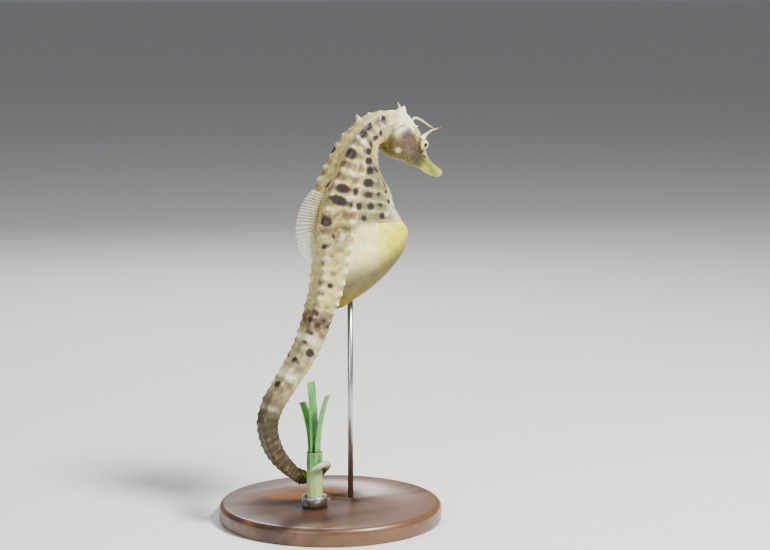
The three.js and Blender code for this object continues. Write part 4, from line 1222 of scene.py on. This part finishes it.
def lathe(name, profile, centre, sides):
    """A closed solid of revolution: a closed profile of radius and height round an axis."""
    outline = np.asarray(profile, float)
    u = np.linspace(0, 2 * np.pi, sides, endpoint=False)
    points = np.stack(np.broadcast_arrays(
        centre[0] + outline[None, :, 0] * np.cos(u)[:, None],
        centre[1] + outline[None, :, 0] * np.sin(u)[:, None],
        outline[None, :, 1],
    ), -1)
    return grid_mesh(name, np.concatenate([points, points[:1]]), (False, False))


def arc(x, z, radius, start, stop, steps=8):
    """Points on an arc in degrees round a centre of radius and height."""
    angle = np.radians(np.linspace(start, stop, steps))
    return list(zip(x + radius * np.cos(angle), z + radius * np.sin(angle)))


def grain_places(tree, scale):
    """Places stretched to draw noise out into grain."""
    places = add(tree, "ShaderNodeTexCoord").outputs["Object"]
    return add(tree, "ShaderNodeMapping", {"Vector": places, "Scale": scale}).outputs[0]


walnut, tree, shader = new_finish(
    "waxed_turned_walnut", Roughness=0.38, Coat_Weight=0.3, Coat_Roughness=0.2,
)
figure = noise(tree, grain_places(tree, (2.5, 30.0, 30.0)), 2.2, 5.0, Distortion=0.8)
pore = noise(tree, grain_places(tree, (60.0, 900.0, 900.0)), 1.5, 2.0)
wood = mixed(tree, remap(tree, figure, 0.35, 0.65), linear("#3a2416"), linear("#6d4a2e"))
wood = mixed(tree, remap(tree, pore, 0.6, 0.72, 0.0, 0.6), wood, linear("#24160d"))
tree.links.new(wood, shader.inputs["Base Color"])
steel, tree, shader = new_finish(
    "brushed_steel", Roughness=0.32, Metallic=1.0, Base_Color=(*linear("#b9bcc0"), 1.0),
)
brushed = noise(tree, grain_places(tree, (900.0, 900.0, 12.0)), 3.0, 2.0)
rough_up(tree, shader, brushed, 0.12, 0.0001)

base_profile = [
    (0.01, 0.0),
    *arc(BASE_RADIUS - 1, 1, 1, -90, 0),
    *arc(BASE_RADIUS - 3, BASE_HEIGHT - 3, 3, 0, 90, 14),
    (0.01, BASE_HEIGHT),
]
rod_profile = [
    (0.01, ROD_BOTTOM), (ROD_RADIUS, ROD_BOTTOM), (ROD_RADIUS, ROD_TOP), (0.01, ROD_TOP),
]
SOCKET_FOOT = BASE_HEIGHT + JOINT_GAP
SOCKET_OUTER = SOCKET_INNER + SOCKET_WALL
socket_profile = [
    (SOCKET_INNER, SOCKET_FOOT),
    (SOCKET_OUTER, SOCKET_FOOT),
    *arc(SOCKET_OUTER - SOCKET_ROUND, SOCKET_TOP - SOCKET_ROUND, SOCKET_ROUND, 0, 90, 5),
    *arc(SOCKET_INNER + SOCKET_ROUND, SOCKET_TOP - SOCKET_ROUND, SOCKET_ROUND, 90, 180, 5),
    (SOCKET_INNER, SOCKET_FOOT),
]
base = lathe("turned_base", base_profile, (0, 0), 160)
dress(base, walnut, "walnut", "stand_base")
rod = lathe("support_rod", rod_profile, (ROD_X, 0), 48)
dress(rod, steel, "steel", "stand_rod")
socket = lathe("shoot_socket", socket_profile, PERCH, 96)
dress(socket, steel, "steel", "stand_socket")


# ---- The floor and the light ----
# A plain pale floor of matt paint, far wider than the view, and three soft studio lamps: a
# key above the camera, a cool fill at its left and a rim lamp behind.
FLOOR_REACH = 60
LAMP_AIM = Vector((0.01, 0.0, 0.12))
# Lamps: name, place, size, power, colour, in metres and watts.
LAMPS = [
    ("key_lamp", (0.3, -0.6, 0.95), 0.24, 30.0, (1.0, 0.99, 0.95)),
    ("fill_lamp", (-0.8, -0.5, 0.5), 0.5, 5.0, (0.94, 0.97, 1.0)),
    ("rim_lamp", (0.3, 0.8, 0.7), 0.4, 6.0, (1.0, 1.0, 1.0)),
]
ROOM_COLOUR = (0.9, 0.93, 1.0, 1.0)
ROOM_STRENGTH = 0.2

corners = [(x * FLOOR_REACH, y * FLOOR_REACH, 0) for x, y in ((-1, -1), (1, -1), (1, 1), (-1, 1))]
floor_mesh = bpy.data.meshes.new("floor")
floor_mesh.from_pydata(corners, [], [(0, 1, 2, 3)])
floor = put("floor", floor_mesh)
floor_paint, tree, shader = new_finish(
    "matt_floor_paint", Roughness=0.8, Base_Color=(0.8, 0.79, 0.77, 1.0),
)
floor.data.materials.append(floor_paint)
world = bpy.data.worlds.new("soft_room")
world.use_nodes = True
room = world.node_tree.nodes["Background"]
room.inputs["Color"].default_value = ROOM_COLOUR
room.inputs["Strength"].default_value = ROOM_STRENGTH
bpy.context.scene.world = world
for name, place, size, power, colour in LAMPS:
    data = bpy.data.lights.new(name, "AREA")
    data.size = size
    data.energy = power
    data.color = colour
    lamp = put(name, data)
    lamp.location = place
    lamp.rotation_euler = (LAMP_AIM - Vector(place)).to_track_quat("-Z", "Y").to_euler()
